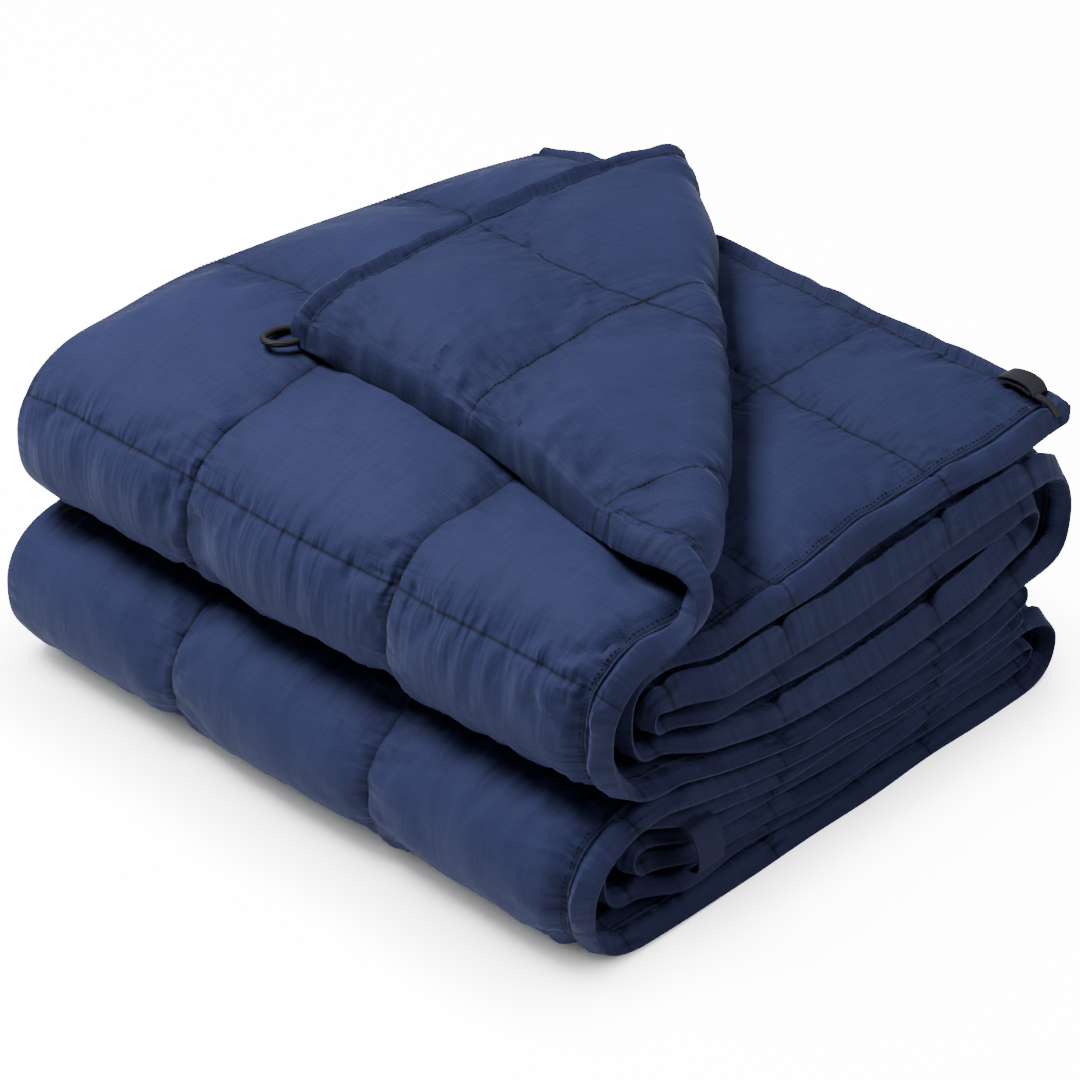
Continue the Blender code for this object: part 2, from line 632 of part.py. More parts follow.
def make_ribbons(cloth, black, navy):
    """The black ribbon over the bound end at the corner, and the navy one on the near side of the lower bundle."""
    u = cloth.section.length - CORNER_TAB_EDGE
    path = []
    for y, height in CORNER_TAB:
        middle, normal = cloth.frame(u, y)
        middle[0] -= CORNER_TAB_IN
        path.append(Vector(middle - normal * (cloth.halves(u, y)[1] + RIBBON_THICK / 2.0 + height)))
    ribbon("ribbon_tab_corner", path, RIBBON_WAY, CORNER_TAB_WIDTH, RIBBON_THICK, black)
    path = [Vector((SIDE_TAB_X - ORIGIN_X, y - ORIGIN_Y, z)) for y, z in SIDE_TAB]
    ribbon("ribbon_tab_side", path, RIBBON_WAY, SIDE_TAB_WIDTH, RIBBON_THICK, navy)


def main():
    for old in list(bpy.data.objects):
        bpy.data.objects.remove(old, do_unlink=True)
    upper = make_blanket()
    make_loop(upper, material("black elastic", BLACK, 0.7))
    make_ribbons(upper, material("black ribbon", BLACK, 0.6), material("navy ribbon", NAVY, 0.6))


main()
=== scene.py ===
"""Looks for the folded weighted blanket: quilted navy cotton, bound edges, an elastic loop and two ribbons.

Each piece is a Blender operator, listed in the sidebar of the 3D view. Lengths in the tables are in
centimetres, in stack coordinates: x from the left folds, y from the near edge, z from the surface that the
stack lies on. A flat point of the cloth is (u, y), where u runs along the folded section from the free end of
the top layer.
"""
import functools
import math

import bpy
import numpy as np
from bpy.props import FloatProperty, FloatVectorProperty, PointerProperty
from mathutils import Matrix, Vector


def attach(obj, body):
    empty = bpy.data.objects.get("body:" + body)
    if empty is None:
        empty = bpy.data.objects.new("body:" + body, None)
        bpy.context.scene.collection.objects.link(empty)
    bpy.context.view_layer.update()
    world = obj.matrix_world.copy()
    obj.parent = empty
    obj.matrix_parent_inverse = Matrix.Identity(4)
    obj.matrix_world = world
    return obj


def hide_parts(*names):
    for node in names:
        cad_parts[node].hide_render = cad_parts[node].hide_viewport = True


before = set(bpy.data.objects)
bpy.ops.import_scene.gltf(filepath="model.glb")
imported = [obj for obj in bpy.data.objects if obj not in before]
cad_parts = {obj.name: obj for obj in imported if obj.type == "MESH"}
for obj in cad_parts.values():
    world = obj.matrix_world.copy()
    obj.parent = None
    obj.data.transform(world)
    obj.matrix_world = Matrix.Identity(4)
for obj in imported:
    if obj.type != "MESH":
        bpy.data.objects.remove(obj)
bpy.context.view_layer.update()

bl_info = {
    "name": "Folded weighted blanket",
    "version": (1, 0, 0),
    "blender": (4, 5, 0),
    "location": "View3D > Sidebar > Blanket",
    "description": "Builds the quilted cloth, bound edges, loop and ribbons round the packed model",
    "category": "Add Mesh",
}

CM = 0.01
BODY = "root"

# Folded stack, as in the part's source
WIDTH = 40.6
DEPTH = 42.6
BAND = 1.6
SEAM_ROWS = (BAND, 14.8, 29.2, 42.5)
SEAMS_X = (16.0, 28.4)
STATIONS = (8.0, 21.0, 34.0)
ORIGIN = np.array((19.98, 20.98, 0.0))
LAYER_COLUMNS = ("z_left", "z_mid", "z_right", "t_left", "t_mid", "t_right", "reach")
UPPER_LAYERS = (
    (9.62, 7.10, 8.00, 0.95, 0.95, 1.35, 0.10),
    (10.75, 9.10, 10.05, 1.15, 2.70, 2.45, -0.15),
    (12.00, 11.55, 12.45, 1.10, 1.90, 1.90, -0.35),
    (13.95, 14.35, 15.10, 2.50, 3.30, 2.90, 0.25),
    (16.20, 17.15, 17.50, 1.60, 1.60, 1.50, 0.15),
    (18.05, 18.85, 18.95, 1.85, 1.60, 1.30, 0.30),
)
LOWER_LAYERS = (
    (0.60, 0.30, 0.35, 1.45, 1.20, 1.25, 0.0),
    (2.25, 1.62, 1.78, 1.40, 1.02, 1.10, -0.40),
    (3.72, 2.70, 2.96, 1.40, 1.02, 1.10, -0.15),
    (5.20, 3.78, 4.15, 1.40, 1.02, 1.10, -0.45),
    (6.70, 4.86, 5.34, 1.40, 1.02, 1.10, 0.05),
    (8.20, 5.93, 6.48, 1.40, 1.00, 1.05, 0.15),
)
FOLD_COLUMNS = ("start", "end", "x_root", "x_tip", "thick", "sag", "seams")
UPPER_FOLDS = (
    (5, 0, 8.2, 3.45, 2.40, 0.0, (0.33, 0.84)),
    (0, 3, 34.5, 38.95, 2.00, 1.1, (0.02, 0.98)),
    (3, 2, 8.6, 7.45, 1.00, 0.0, (0.0, 1.0)),
    (2, 1, 35.2, 36.80, 1.20, 0.4, (0.0, 1.0)),
    (1, 4, 8.0, 5.85, 1.20, 0.0, (0.0, 1.0)),
)
LOWER_FOLDS = (
    (5, 0, 7.0, 2.00, 2.20, 0.1, (0.10, 0.88)),
    (0, 3, 36.0, 38.80, 1.50, 0.1, (0.02, 0.98)),
    (3, 2, 7.2, 6.20, 0.80, 0.0, (0.0, 1.0)),
    (2, 1, 36.0, 37.00, 0.80, 0.0, (0.0, 1.0)),
    (1, 4, 6.4, 4.15, 1.20, 0.0, (0.0, 1.0)),
)
UPPER_ENDS = (40.3, 38.9)
LOWER_ENDS = (36.6, 36.2)

# Turned-back corner
FLAP_LINE = 8.8                 # x - y of the line that it turns back along
FLAP_BEND = 1.45                # radius of its fold
FLAP_SPREAD = 3.8               # half width of the cloth that the fold takes
FLAP_BULGE = 2.1
FLAP_MIDDLE = 28.5
FLAP_HALF = 24.0
FLAP_REACH = 20.0
FLAP_SETTLE = 0.15
FLAP_END_DROP = 0.15
FLAP_SIDE_DROP = 0.75
FLAP_SIDE_TUCK = 2.5
FLAP_UNDERSIDE = 0.8
FLAP_END_SPREAD = 0.55
FLAP_INSIDE = 0.6
FLAP_CROWN = 2.3                # its pockets' crown, against the others'
ROLL_TAUT = 0.5                 # how much less the quilting lines draw in on its fold
ROLL_FLAT = 1.0                 # share of the extra crown that its fold takes away
FLAP_GATHERS = 0.5              # height of the gathers over its curled edge
FLAP_GATHERED = (1.2, 3.0)      # row where they are highest, and how far they reach from it
FLAP_CREASES = 0.17             # height of the crisp creases that run in from its near edge
FLAP_CREASED = 16.0             # and how far they run
FLAP_WRINKLES = 0.45            # its wrinkles are this much deeper
FLAP_CURL = 1.1                 # how far its near edge comes down
FLAP_CURL_IN = 0.8              # and goes back under the corner
FLAP_CURL_WIDTH = 2.6
FLAP_TURNED = (FLAP_SPREAD - 1.0, FLAP_SPREAD + 9.0)    # it comes down between these distances past the line
FLAP_END_DEPTH = 4.0            # its free end comes down over this depth
FLAP_SIDE_DEPTH = (-0.5, 3.0)   # and its near edge over these rows
FLAP_TUCK_DEPTH = (-1.0, 11.0)
CURLED_ROWS = (-2.2, 14.8)      # quilting lines on both sides of the curled edge's pockets

# Pile
STACK_TOP = 19.0
FAR_DROP = 1.7
FAR_DROP_DEPTH = 14.0
FAR_RISE = 2.1
RISE_X = (3.5, 16.0)
RISE_Y = (4.0, 34.0)
FAR_EDGE = 0.5
FAR_EDGE_DEPTH = 4.0
NEAR_DROP = 0.25
NEAR_DROP_DEPTH = 3.0
UNEVEN = 0.16
UNEVEN_X = 5.3
UNEVEN_Y = 6.1
UNEVEN_START = (0.6, 1.0)
LEAN = 1.9
FAR_SLANT = 2.4
REACH_DEPTH = 7.0

# Thickness over a pocket
SEAM_PART = 0.24
INNER_SEAM_PART = 0.48
SHOWN_CROWN = 1.65
BAND_CROWN = 0.55
EDGE_PART = 0.14
EDGE_ROUND = 0.5
CROWN = 0.58
NOSE_TAUT = 0.62                # round a fold the cloth is taut: the line along it draws in this much less
NOSE_NARROW = 0.60              # and those across it are narrower
NOSE_FROM = 3.0                 # it is so from this far before the fold, wholly from NOSE_FULL inside it,
NOSE_FULL = 2.0                 # and to NOSE_AFTER past its end
NOSE_AFTER = 4.0
ROUNDNESS = 0.82
CREST = 1.2                     # half thickness that has the palest colour: painted light on the thick crowns, painted shade where the cloth is thin
LINE_AWAY = 6.0                 # moves the first line's shade off the turned-back corner's near side
SAMPLE = 0.1
SMOOTH = 5

# Quilting lines that wander. Top: middle and half width of the stretch in u, rows where the shift dies away,
# and the shift. Panel: where it begins along u from the panel's start, rows where it begins and ends, shift.
SLACK_TOP = (13.5, 11.0, (9.0, 24.0), 1.6)
SLACK_PANEL = ((8.0, 14.0), (BAND, 8.0), (18.0, 28.0), 2.0)

# Inner layers, whose points are close together only near the edges that show
HIDDEN_NEAR = 7.0
HIDDEN_FAR = 4.0
HIDDEN_STEP = 1.7

# Wrinkles, from a simulated flat patch of quilting
PATCH_POCKETS = 3
PATCH_CELLS = 40
PATCH_FRAMES = 30
PATCH_SLACK = 0.10              # the cloth is this much larger than its pocket
PATCH_PRESSURE = 12.0
POCKET = 13.0

# Bound edge
BAND_STATIONS = (0.0, 0.05, 0.14, 0.3, 0.55, 0.85, 1.1, 1.26, 1.36, 1.45, 1.53, BAND)
THIN_EDGE = 0.05                # half thickness at the very edge
WEDGE = 1.0                     # the edge thickens over this width
WEDGE_POWER = 0.52
DROOP = 1.0                     # how much of the lost thickness the edge comes down by
BAND_DRAWN = 0.45               # the quilting lines run on over the bound edge
BAND_DRAWN_WIDTH = 0.3
PUFF_LEAN = 1.35                # moves the crown of the bound edge towards the seam
PUFF_WIDTH = 1.30               # width of the padded part; the rest is the ridge at the seam
STITCHED = (1.28, BAND + 0.2)   # stitches on the bound edge and beside it
RIDGE_AT = 1.47
RIDGE_WIDTH = 0.10
RIDGE_HEIGHT = 0.12
CORNER_ROUND = 1.3              # radius of a free corner
BAND_JOIN = 0.9                 # from here its creases go over into those of the cloth
TUCK = 0.14                     # how far the quilted cloth goes under the ridge
TUCKED_PART = 0.85              # and how thin it is there
LEAST_HALF = 0.05               # each side of the cloth is at least this thick
INNER_CREASES = 0.9             # share of the creases on the inner side
STEEP_STEP = 0.3

# Stitches
LINE_STEP = 0.08                # step along a line of stitches
LINE_START = 0.1                # they start this far inside the bound edge
LINE_END = 0.3                  # and end this far before the far edge
LINE_CLEAR = 0.2                # no line this close to the bound edge
LOWER_SHOWN = 2.0               # the lower bundle's outer side shows from this far before its left fold
PANEL_COVERED = 6.0             # stretch of the upper bundle's panel that the turned-back corner covers
# One stitch: share of its length, how deep it dips and how thick it is, both in radii of the thread
STITCH_SHAPE = ((0.0, 1.0, 0.5), (0.25, 0.0, 1.0), (0.75, 0.0, 1.0), (1.0, 1.0, 0.5))

# Elastic loop
LOOP_ROOT = (12.3, 30.7)
LOOP_WAY = (-1.0, 0.45, 0.0)
LOOP_LENGTH = 2.6
LOOP_WIDTH = 1.5
LOOP_CORD = 0.4
LOOP_OPEN = 0.45
LOOP_CLEAR = 0.25

# Ribbons: widths, and paths as y and height over the cloth, or x, y and z
RIBBON_THICK = 0.12
CORNER_TAB_WIDTH = 1.2
CORNER_TAB_EDGE = 0.85
CORNER_TAB_IN = 0.60
CORNER_TAB = ((4.0, 0.08), (3.75, 0.28), (3.2, 0.44), (2.6, 0.50), (2.1, 0.42), (1.85, 0.22), (1.7, 0.05))
CORNER_PLY = ((4.0, 0.04), (3.3, 0.12), (2.6, 0.16), (1.95, 0.05))
STRAP_WIDTH = 0.42
STRAP_IN = 0.9
STRAP = ((1.9, 0.04), (1.4, 0.07), (0.9, 0.08), (0.5, 0.07), (0.12, 0.03))
SIDE_TAB_WIDTH = 1.9
SIDE_TAB = ((9.2, -0.2, 6.6), (9.25, -0.7, 6.4), (9.4, -0.95, 5.65), (9.6, -1.0, 4.6), (9.7, -0.85, 3.75),
            (9.7, -0.25, 3.5))

# Finishes; heights of the bumps are in metres
FINISH_COLUMNS = ("name", "deep", "pale_tone", "thread", "roughness", "sheen", "quilted")
BLACK_DEEP = (0.003, 0.003, 0.0035)
BLACK_WORN = (0.020, 0.0185, 0.021)
ELASTIC = (0.004, 0.004, 0.005)
# Painted shade in the grooves of the quilting lines: its colour, and how much of it the lines take
SEAM_SHADE_COLOUR = (0.0008, 0.0010, 0.0030, 1.0)
SEAM_SHADE = 0.68
# Shares that push the cloth to its pale colour: Crest is painted light on the crowns and painted shade on
# thin cloth, Patches and Slub are random tone
LIGHT_AND_TONE_PARTS = (("Crest", 0.42), ("Patches", 0.36), ("Slub", 0.34))
WHITE = (1.0, 1.0, 1.0, 1.0)
BRAID_SCALE = 320.0
BRAID_SHADES = (0.6, 1.5)
BRAID_HEIGHT = 0.0004
FLOAT, COLOUR, VECTOR = "NodeSocketFloat", "NodeSocketColor", "NodeSocketVector"
FOLD_HEIGHT = 0.0022
PUCKER_HEIGHT = 0.006
WEAVE_HEIGHT = 0.0003
CONTACT_REACH = 0.06            # how far from the cloth the floor is shaded, in metres

# Lights: side of the lamp and its place, in metres
KEY_LIGHT = (0.85, (-0.6, 0.78, 2.08))
FILL_LIGHT = (1.4, (0.7, -2.0, 1.8))

# Camera, worked out from the photograph
CAMERA_TARGET = (18.9, 20.2, 9.0)
CAMERA_AZIMUTH = -45.5
CAMERA_ELEVATION = 34.2
CAMERA_DISTANCE = 220.0
CAMERA_LENS = 136.0
CAMERA_SENSOR = 36.0


def smooth_step(value, low, high):
    """0 up to low, 1 from high on, and a smooth rise between them."""
    part = np.clip((value - low) / (high - low), 0.0, 1.0)
    return part * part * (3.0 - 2.0 * part)


def between_corners(corners, part_a, part_b):
    """Value between four others: corners[0] are the two at part_a = 0."""
    low, high = [first * (1.0 - part_b) + last * part_b for first, last in corners]
    return low * (1.0 - part_a) + high * part_a


def numbered(rows, columns):
    """Numbers of the points of a grid, row by row."""
    return np.arange(rows * columns).reshape(rows, columns)


def grid_cells(index):
    """Quads of a grid of point numbers."""
    return np.stack((index[:-1, :-1], index[1:, :-1], index[1:, 1:], index[:-1, 1:]), axis=-1).reshape(-1, 4)


class Roughness:
    """Smooth seeded noise in two directions, between -1 and 1."""

    def __init__(self, seed, size=64):
        self.size = size
        self.lattice = np.random.RandomState(seed).uniform(-1.0, 1.0, (size, size))

    def at(self, a, b):
        """The noise at a and b; a step of 1 leads from one random value to the next."""
        a, b = np.broadcast_arrays(np.asarray(a, float), np.asarray(b, float))
        whole_a, whole_b = np.floor(a).astype(int), np.floor(b).astype(int)
        corners = [[self.lattice[(whole_a + i) % self.size, (whole_b + j) % self.size] for j in (0, 1)]
                   for i in (0, 1)]
        part_a, part_b = smooth_step(a - whole_a, 0.0, 1.0), smooth_step(b - whole_b, 0.0, 1.0)
        return between_corners(corners, part_a, part_b)


LUMPS = Roughness(11)
PUCKERS_ALONG = Roughness(23)
PUCKERS_ACROSS = Roughness(37)
CREASES = Roughness(53)
WAVES = Roughness(71)
WRINKLED_THICKNESS = 1.9        # cloth this thick takes the whole depth of the wrinkles
LEAST_WRINKLED = 0.3            # and the thinnest this share of it
CALM = 0.28                     # share of the wrinkles left in the middle of a pocket
CALM_FROM = 2.1
GATHER_CHANGE = 0.35            # steps of the gathers' noise in a centimetre away from the seam
PLEAT_REACH = 5.0
EDGE_WANDER = 0.42              # how far a near edge goes in and out
EDGE_WAVE = 5.0
EDGE_WANDER_DEPTH = 8.0
INNER_BACK = 1.1


def layer_curve(layers, number, x):
    """Height, thickness and reach of a layer at x, from a parabola through its three stations."""
    row = dict(zip(LAYER_COLUMNS, layers[number]))
    left, middle, right = STATIONS
    z = row["z_left"] * (x - middle) * (x - right) / ((left - middle) * (left - right))
    z = z + row["z_mid"] * (x - left) * (x - right) / ((middle - left) * (middle - right))
    z = z + row["z_right"] * (x - left) * (x - middle) / ((right - left) * (right - middle))
    thick = np.interp(x, STATIONS, (row["t_left"], row["t_mid"], row["t_right"]))
    return z, thick, row["reach"]


class Section:
    """The back-and-forth line of one bundle: x, z and thickness along u, and where its quilting lines are."""

    def __init__(self, layers, folds, ends):
        self.layers = layers
        self.end_top = ends[0]
        self.samples = []
        self.seams = [BAND]
        self.runs = {}
        u, x = 0.0, ends[0]
        for fold in folds:
            row = dict(zip(FOLD_COLUMNS, fold))
            start, x = self.add_run(row["start"], u, x, row["x_root"])
            u = self.add_fold(row, start, x)
            if row["start"] == 5:
                self.left_fold = (start, u)
        u, x = self.add_run(folds[-1][1], u, x, ends[1])
        self.length = u
        self.seams.append(u - BAND)
        self.samples.append((u, x) + tuple(layer_curve(layers, folds[-1][1], x)))
        columns = [np.array(column) for column in zip(*self.samples)]
        self.u = columns[0]
        self.x, self.z, self.thick, self.reach = [self.smooth(column) for column in columns[1:]]
        self.seams = np.array(sorted(set(self.seams)))

    def add_run(self, number, u, x, x_next):
        """A flat layer from x to x_next."""
        count = max(2, int(abs(x_next - x) / SAMPLE))
        for run in np.linspace(x, x_next, count, endpoint=False):
            self.samples.append((u + abs(run - x), run) + tuple(layer_curve(self.layers, number, run)))
        self.seams.extend(u + abs(seam - x) for seam in SEAMS_X)
        self.runs[number] = (u, x, math.copysign(1.0, x_next - x))
        return u + abs(x_next - x), x_next

    def add_fold(self, row, u, x):
        """A round fold from one layer to another, an oval turned a little square."""
        z_from, thick_from, reach_from = layer_curve(self.layers, row["start"], x)
        z_to, thick_to, reach_to = layer_curve(self.layers, row["end"], x)
        half = (z_from - z_to) / 2.0
        out = row["x_tip"] - x
        length = math.pi * math.hypot(half, out) / math.sqrt(2.0)
        count = max(8, int(length / SAMPLE))
        for turn in np.linspace(0.0, math.pi, count, endpoint=False):
            side = math.sin(turn) ** ROUNDNESS
            rise = math.copysign(abs(math.cos(turn)) ** ROUNDNESS, math.cos(turn))
            ends = thick_from + (thick_to - thick_from) * turn / math.pi
            thick = ends + (row["thick"] - ends) * math.sin(turn) ** 2
            z = (z_from + z_to) / 2.0 + half * rise - row["sag"] * math.sin(turn) ** 2
            reach = reach_from + (reach_to - reach_from) * turn / math.pi
            self.samples.append((u + length * turn / math.pi, x + out * side, z, thick, reach))
        self.seams.extend(u + length * seam for seam in row["seams"])
        return u + length

    @staticmethod
    def smooth(values):
        """The values with their corners rounded off, and the same at both ends."""
        before = 2.0 * values[0] - values[SMOOTH:0:-1]
        after = 2.0 * values[-1] - values[-2:-SMOOTH - 2:-1]
        kernel = np.hanning(2 * SMOOTH + 3)[1:-1]
        return np.convolve(np.concatenate([before, values, after]), kernel / kernel.sum(), mode="valid")

    def at(self, u):
        """x, z and thickness at u, carried on straight past the free ends."""
        past = np.maximum(np.maximum(-u, u - self.length), 0.0)
        x, z, thick = [np.interp(u, self.u, values) for values in (self.x, self.z, self.thick)]
        return x + past, z, thick


def between(value, seams):
    """Number of the pocket that holds the value, and the quilting lines on both sides of it."""
    seams = np.asarray(seams)
    index = np.clip(np.searchsorted(seams, value), 1, len(seams) - 1)
    return index, seams[index - 1], seams[index]


def pocket(value, seams):
    """0 on a quilting line and 1 in the middle of a pocket, and the distance to the nearest line."""
    _, first, last = between(value, seams)
    part = np.clip((value - first) / (last - first), 0.0, 1.0)
    distance = np.minimum(np.abs(value - first), np.abs(last - value))
    return np.maximum(0.0, np.sin(math.pi * part)) ** CROWN, distance


def line_distance(value, seams):
    """Distance to the nearest quilting line. Its sign changes at each line, so that it stays smooth."""
    index, first, last = between(value, seams)
    part = np.clip((value - first) / (last - first), -0.5, 1.5)
    return np.sin(math.pi * (index + part)) * (last - first) / math.pi


class Wrinkles:
    """Wrinkles of a flat patch of quilting: cloth too large for its sewn-down seams, blown up by filling."""

    def __init__(self):
        count = PATCH_POCKETS * PATCH_CELLS + 1
        self.heights = np.zeros((count, count))
        self.heights = self.without_average(self.simulate(count))

    @staticmethod
    def without_average(raised):
        """The patch less its average pocket, which is the same from all four sides."""
        starts = range(0, len(raised) - 1, PATCH_CELLS)
        tiles = [raised[i:i + PATCH_CELLS + 1, j:j + PATCH_CELLS + 1] for i in starts for j in starts]
        average = sum(tiles) / len(tiles)
        average = (average + average[::-1]) / 2.0
        average = (average + average[:, ::-1]) / 2.0
        average = (average + average.T) / 2.0
        left = raised.copy()
        for i in starts:
            for j in starts:
                left[i:i + PATCH_CELLS, j:j + PATCH_CELLS] -= average[:-1, :-1]
        return left

    @staticmethod
    def simulate(count):
        """Heights in cm of the patch, after Blender's cloth has settled under an even pressure from below."""
        places = np.linspace(0.0, PATCH_POCKETS * POCKET * CM, count)
        x, y = np.meshgrid(places, places, indexing="ij")
        sewn = np.zeros((count, count), dtype=bool)
        sewn[::PATCH_CELLS, :] = sewn[:, ::PATCH_CELLS] = True
        start = np.where(sewn, 0.0, np.random.RandomState(5).uniform(0.0, 0.0004, (count, count)))
        data = bpy.data.meshes.new("patch")
        points = np.stack((x, y, start), axis=-1).reshape(-1, 3)
        data.from_pydata(points.tolist(), [], grid_cells(numbered(count, count)).tolist())
        patch = bpy.data.objects.new("patch", data)
        scene = bpy.context.scene
        scene.collection.objects.link(patch)
        group = patch.vertex_groups.new(name="seams")
        group.add(np.flatnonzero(sewn.ravel()).tolist(), 1.0, "REPLACE")
        cloth = patch.modifiers.new("cloth", "CLOTH")
        settings = cloth.settings
        settings.quality = 6
        settings.mass = 0.2
        settings.air_damping = 2.0
        settings.tension_stiffness = settings.compression_stiffness = 15.0
        settings.shear_stiffness = 5.0
        settings.bending_stiffness = 0.02
        settings.tension_damping = settings.compression_damping = 10.0
        settings.shear_damping = 5.0
        settings.vertex_group_mass = "seams"
        settings.use_pressure = True
        settings.uniform_pressure_force = PATCH_PRESSURE
        settings.shrink_min = -PATCH_SLACK
        settings.effector_weights.gravity = 0.0
        cloth.collision_settings.use_collision = False
        cloth.collision_settings.use_self_collision = False
        cloth.point_cache.frame_end = PATCH_FRAMES
        for number in range(1, PATCH_FRAMES + 1):
            scene.frame_set(number)
        settled = patch.evaluated_get(bpy.context.evaluated_depsgraph_get()).to_mesh()
        found = np.empty(3 * count * count)
        settled.vertices.foreach_get("co", found)
        scene.frame_set(1)
        bpy.data.objects.remove(patch)
        bpy.data.meshes.remove(data)
        return found.reshape(count, count, 3)[..., 2] / CM

    def sample(self, a, b):
        """Heights between the patch's points; a and b are in cells."""
        last = len(self.heights) - 2
        whole_a, whole_b = np.clip(a.astype(int), 0, last), np.clip(b.astype(int), 0, last)
        corners = [[self.heights[whole_a + i, whole_b + j] for j in (0, 1)] for i in (0, 1)]
        return between_corners(corners, a - whole_a, b - whole_b)

    @staticmethod
    def spots(value, seams):
        """Pocket number, and where in a pocket of the patch the value lies from each side, with weights."""
        index, first, last = between(value, seams)
        far = smooth_step((value - first) / (last - first), 0.3, 0.7)
        from_first = np.clip((value - first) / POCKET, 0.0, 1.0)
        from_last = np.clip(1.0 - (last - value) / POCKET, 0.0, 1.0)
        return index, ((from_first, 1.0 - far), (from_last, far))

    def at(self, u, y, u_seams, y_seams, seed):
        """Wrinkles on the cloth. Pockets take turns with the patch's pockets, some of them turned round."""
        column, in_u = self.spots(u, u_seams)
        row, in_y = self.spots(y, y_seams)
        tile_u, tile_y = (column + int(seed)) % PATCH_POCKETS, (row + 2 * column) % PATCH_POCKETS
        turned_u, turned_y = (3 * column + row) % 2 == 1, (column + 5 * row) // 2 % 2 == 1
        total = 0.0
        for part_u, weight_u in in_u:
            a = (tile_u + np.where(turned_u, 1.0 - part_u, part_u)) * PATCH_CELLS
            for part_y, weight_y in in_y:
                b = (tile_y + np.where(turned_y, 1.0 - part_y, part_y)) * PATCH_CELLS
                total = total + weight_u * weight_y * self.sample(a, b)
        return total


@functools.cache
def wrinkled_patch():
    """The patch's wrinkles, simulated when they are first asked for."""
    return Wrinkles()


class Cloth:
    """One bundle's cloth: where each flat point goes, how thick the cloth is there and how it is creased."""

    def __init__(self, section, has_flap, seed):
        self.section = section
        self.has_flap = has_flap
        self.seed = seed

    def fold_over(self, x, y):
        """How a flat point of the top layer moves, how high it goes, and how far past the fold line it is."""
        past = (x - y - FLAP_LINE) / math.sqrt(2.0)
        along = ((x + y) / math.sqrt(2.0) - FLAP_MIDDLE) / FLAP_HALF
        middle = np.maximum(0.0, 1.0 - along * along)
        spread = FLAP_SPREAD * (FLAP_END_SPREAD + (1.0 - FLAP_END_SPREAD) * middle)
        bulge = FLAP_BULGE * middle
        lead = spread + bulge - FLAP_BEND
        path = (past + spread) / (2.0 * spread) * (2.0 * lead + math.pi * FLAP_BEND)
        turn = (path - lead) / FLAP_BEND
        bend = np.clip(turn, 0.0, math.pi)
        place = np.select(
            [past >= spread, turn <= 0.0, turn >= math.pi],
            [-past, path - spread, bulge - FLAP_BEND - (turn - math.pi) * FLAP_BEND],
            bulge - FLAP_BEND + FLAP_BEND * np.sin(bend))
        height = np.select(
            [past >= spread, turn <= 0.0, turn >= math.pi],
            [2.0 * FLAP_BEND, 0.0, 2.0 * FLAP_BEND], FLAP_BEND * (1.0 - np.cos(bend)))
        move = (place - past) / math.sqrt(2.0)
        turned = smooth_step(past, *FLAP_TURNED)
        settle = FLAP_SETTLE * smooth_step(past, FLAP_SPREAD, FLAP_REACH)
        from_end = smooth_step(self.section.end_top - x, 0.0, FLAP_END_DEPTH)
        settle = settle + FLAP_END_DROP * turned * (1.0 - from_end)
        settle = settle + FLAP_SIDE_DROP * turned * (1.0 - smooth_step(y, *FLAP_SIDE_DEPTH))
        tuck = FLAP_SIDE_TUCK * turned * (1.0 - smooth_step(y, *FLAP_TUCK_DEPTH))
        flat = past <= -spread
        return (np.where(flat, 0.0, move + tuck), np.where(flat, 0.0, -move),
                np.where(flat, 0.0, np.maximum(height - settle, 0.0)), past)

    def place(self, u, y):
        """The middle of the cloth for flat points, in cm from the world's origin."""
        u, y = np.broadcast_arrays(np.asarray(u, float), np.asarray(y, float))
        x, z, _ = self.section.at(u)
        lift = 0.0
        let_out = np.interp(u, self.section.u, self.section.reach) * (1.0 - smooth_step(y, 0.0, REACH_DEPTH))
        if self.has_flap:
            on_top = u < self.section.left_fold[1]
            flat_x = self.section.end_top - u
            move_x, move_y, lift, past = self.fold_over(flat_x, y)
            let_out = let_out * np.where(on_top, 1.0 - smooth_step(past, -2.0 * FLAP_SPREAD, 0.0), 1.0)
            layers = self.section.layers
            change = layer_curve(layers, 5, flat_x + move_x)[0] - layer_curve(layers, 5, flat_x)[0]
            z = z + np.where(on_top, change, 0.0)
            x = x + np.where(on_top, move_x, 0.0)
            y = y + np.where(on_top, move_y, 0.0)
            lift = np.where(on_top, lift, 0.0)
        scale = (np.maximum(z, 0.0) / STACK_TOP) ** 1.5
        right = np.clip(x / WIDTH, 0.0, 1.0)
        z = z + scale * FAR_RISE * (1.0 - right) * smooth_step(x, *RISE_X) * smooth_step(y, *RISE_Y)
        z = z - scale * FAR_DROP * right * smooth_step(y, DEPTH - FAR_DROP_DEPTH, DEPTH)
        z = z - scale * FAR_EDGE * smooth_step(y, DEPTH - FAR_EDGE_DEPTH, DEPTH)
        z = z - scale * NEAR_DROP * (1.0 - smooth_step(y, 0.0, NEAR_DROP_DEPTH))
        wave_x, wave_y = x / UNEVEN_X + UNEVEN_START[0], y / UNEVEN_Y + UNEVEN_START[1]
        z = z + scale * UNEVEN * np.sin(wave_x) * np.sin(wave_y)
        x = x - LEAN * y / DEPTH * np.maximum(0.0, 1.0 - 2.0 * x / WIDTH)
        y = y - FAR_SLANT * (y / DEPTH) ** 3 * (x / WIDTH) ** 2
        y = y - let_out
        return np.stack((x, y, z + lift), axis=-1) - ORIGIN

    def frame(self, u, y, step=0.12):
        """Middle points and normals, which point out of the stack on its outer layer."""
        along_u = self.place(u + step, y) - self.place(u - step, y)
        along_y = self.place(u, y + step) - self.place(u, y - step)
        normal = np.cross(along_y, along_u)
        return self.place(u, y), normal / np.maximum(np.linalg.norm(normal, axis=-1, keepdims=True), 1e-9)

    def from_edge(self, u, y):
        """Distance from the nearest bound edge."""
        return np.minimum(np.minimum(y, u), self.section.length - u)

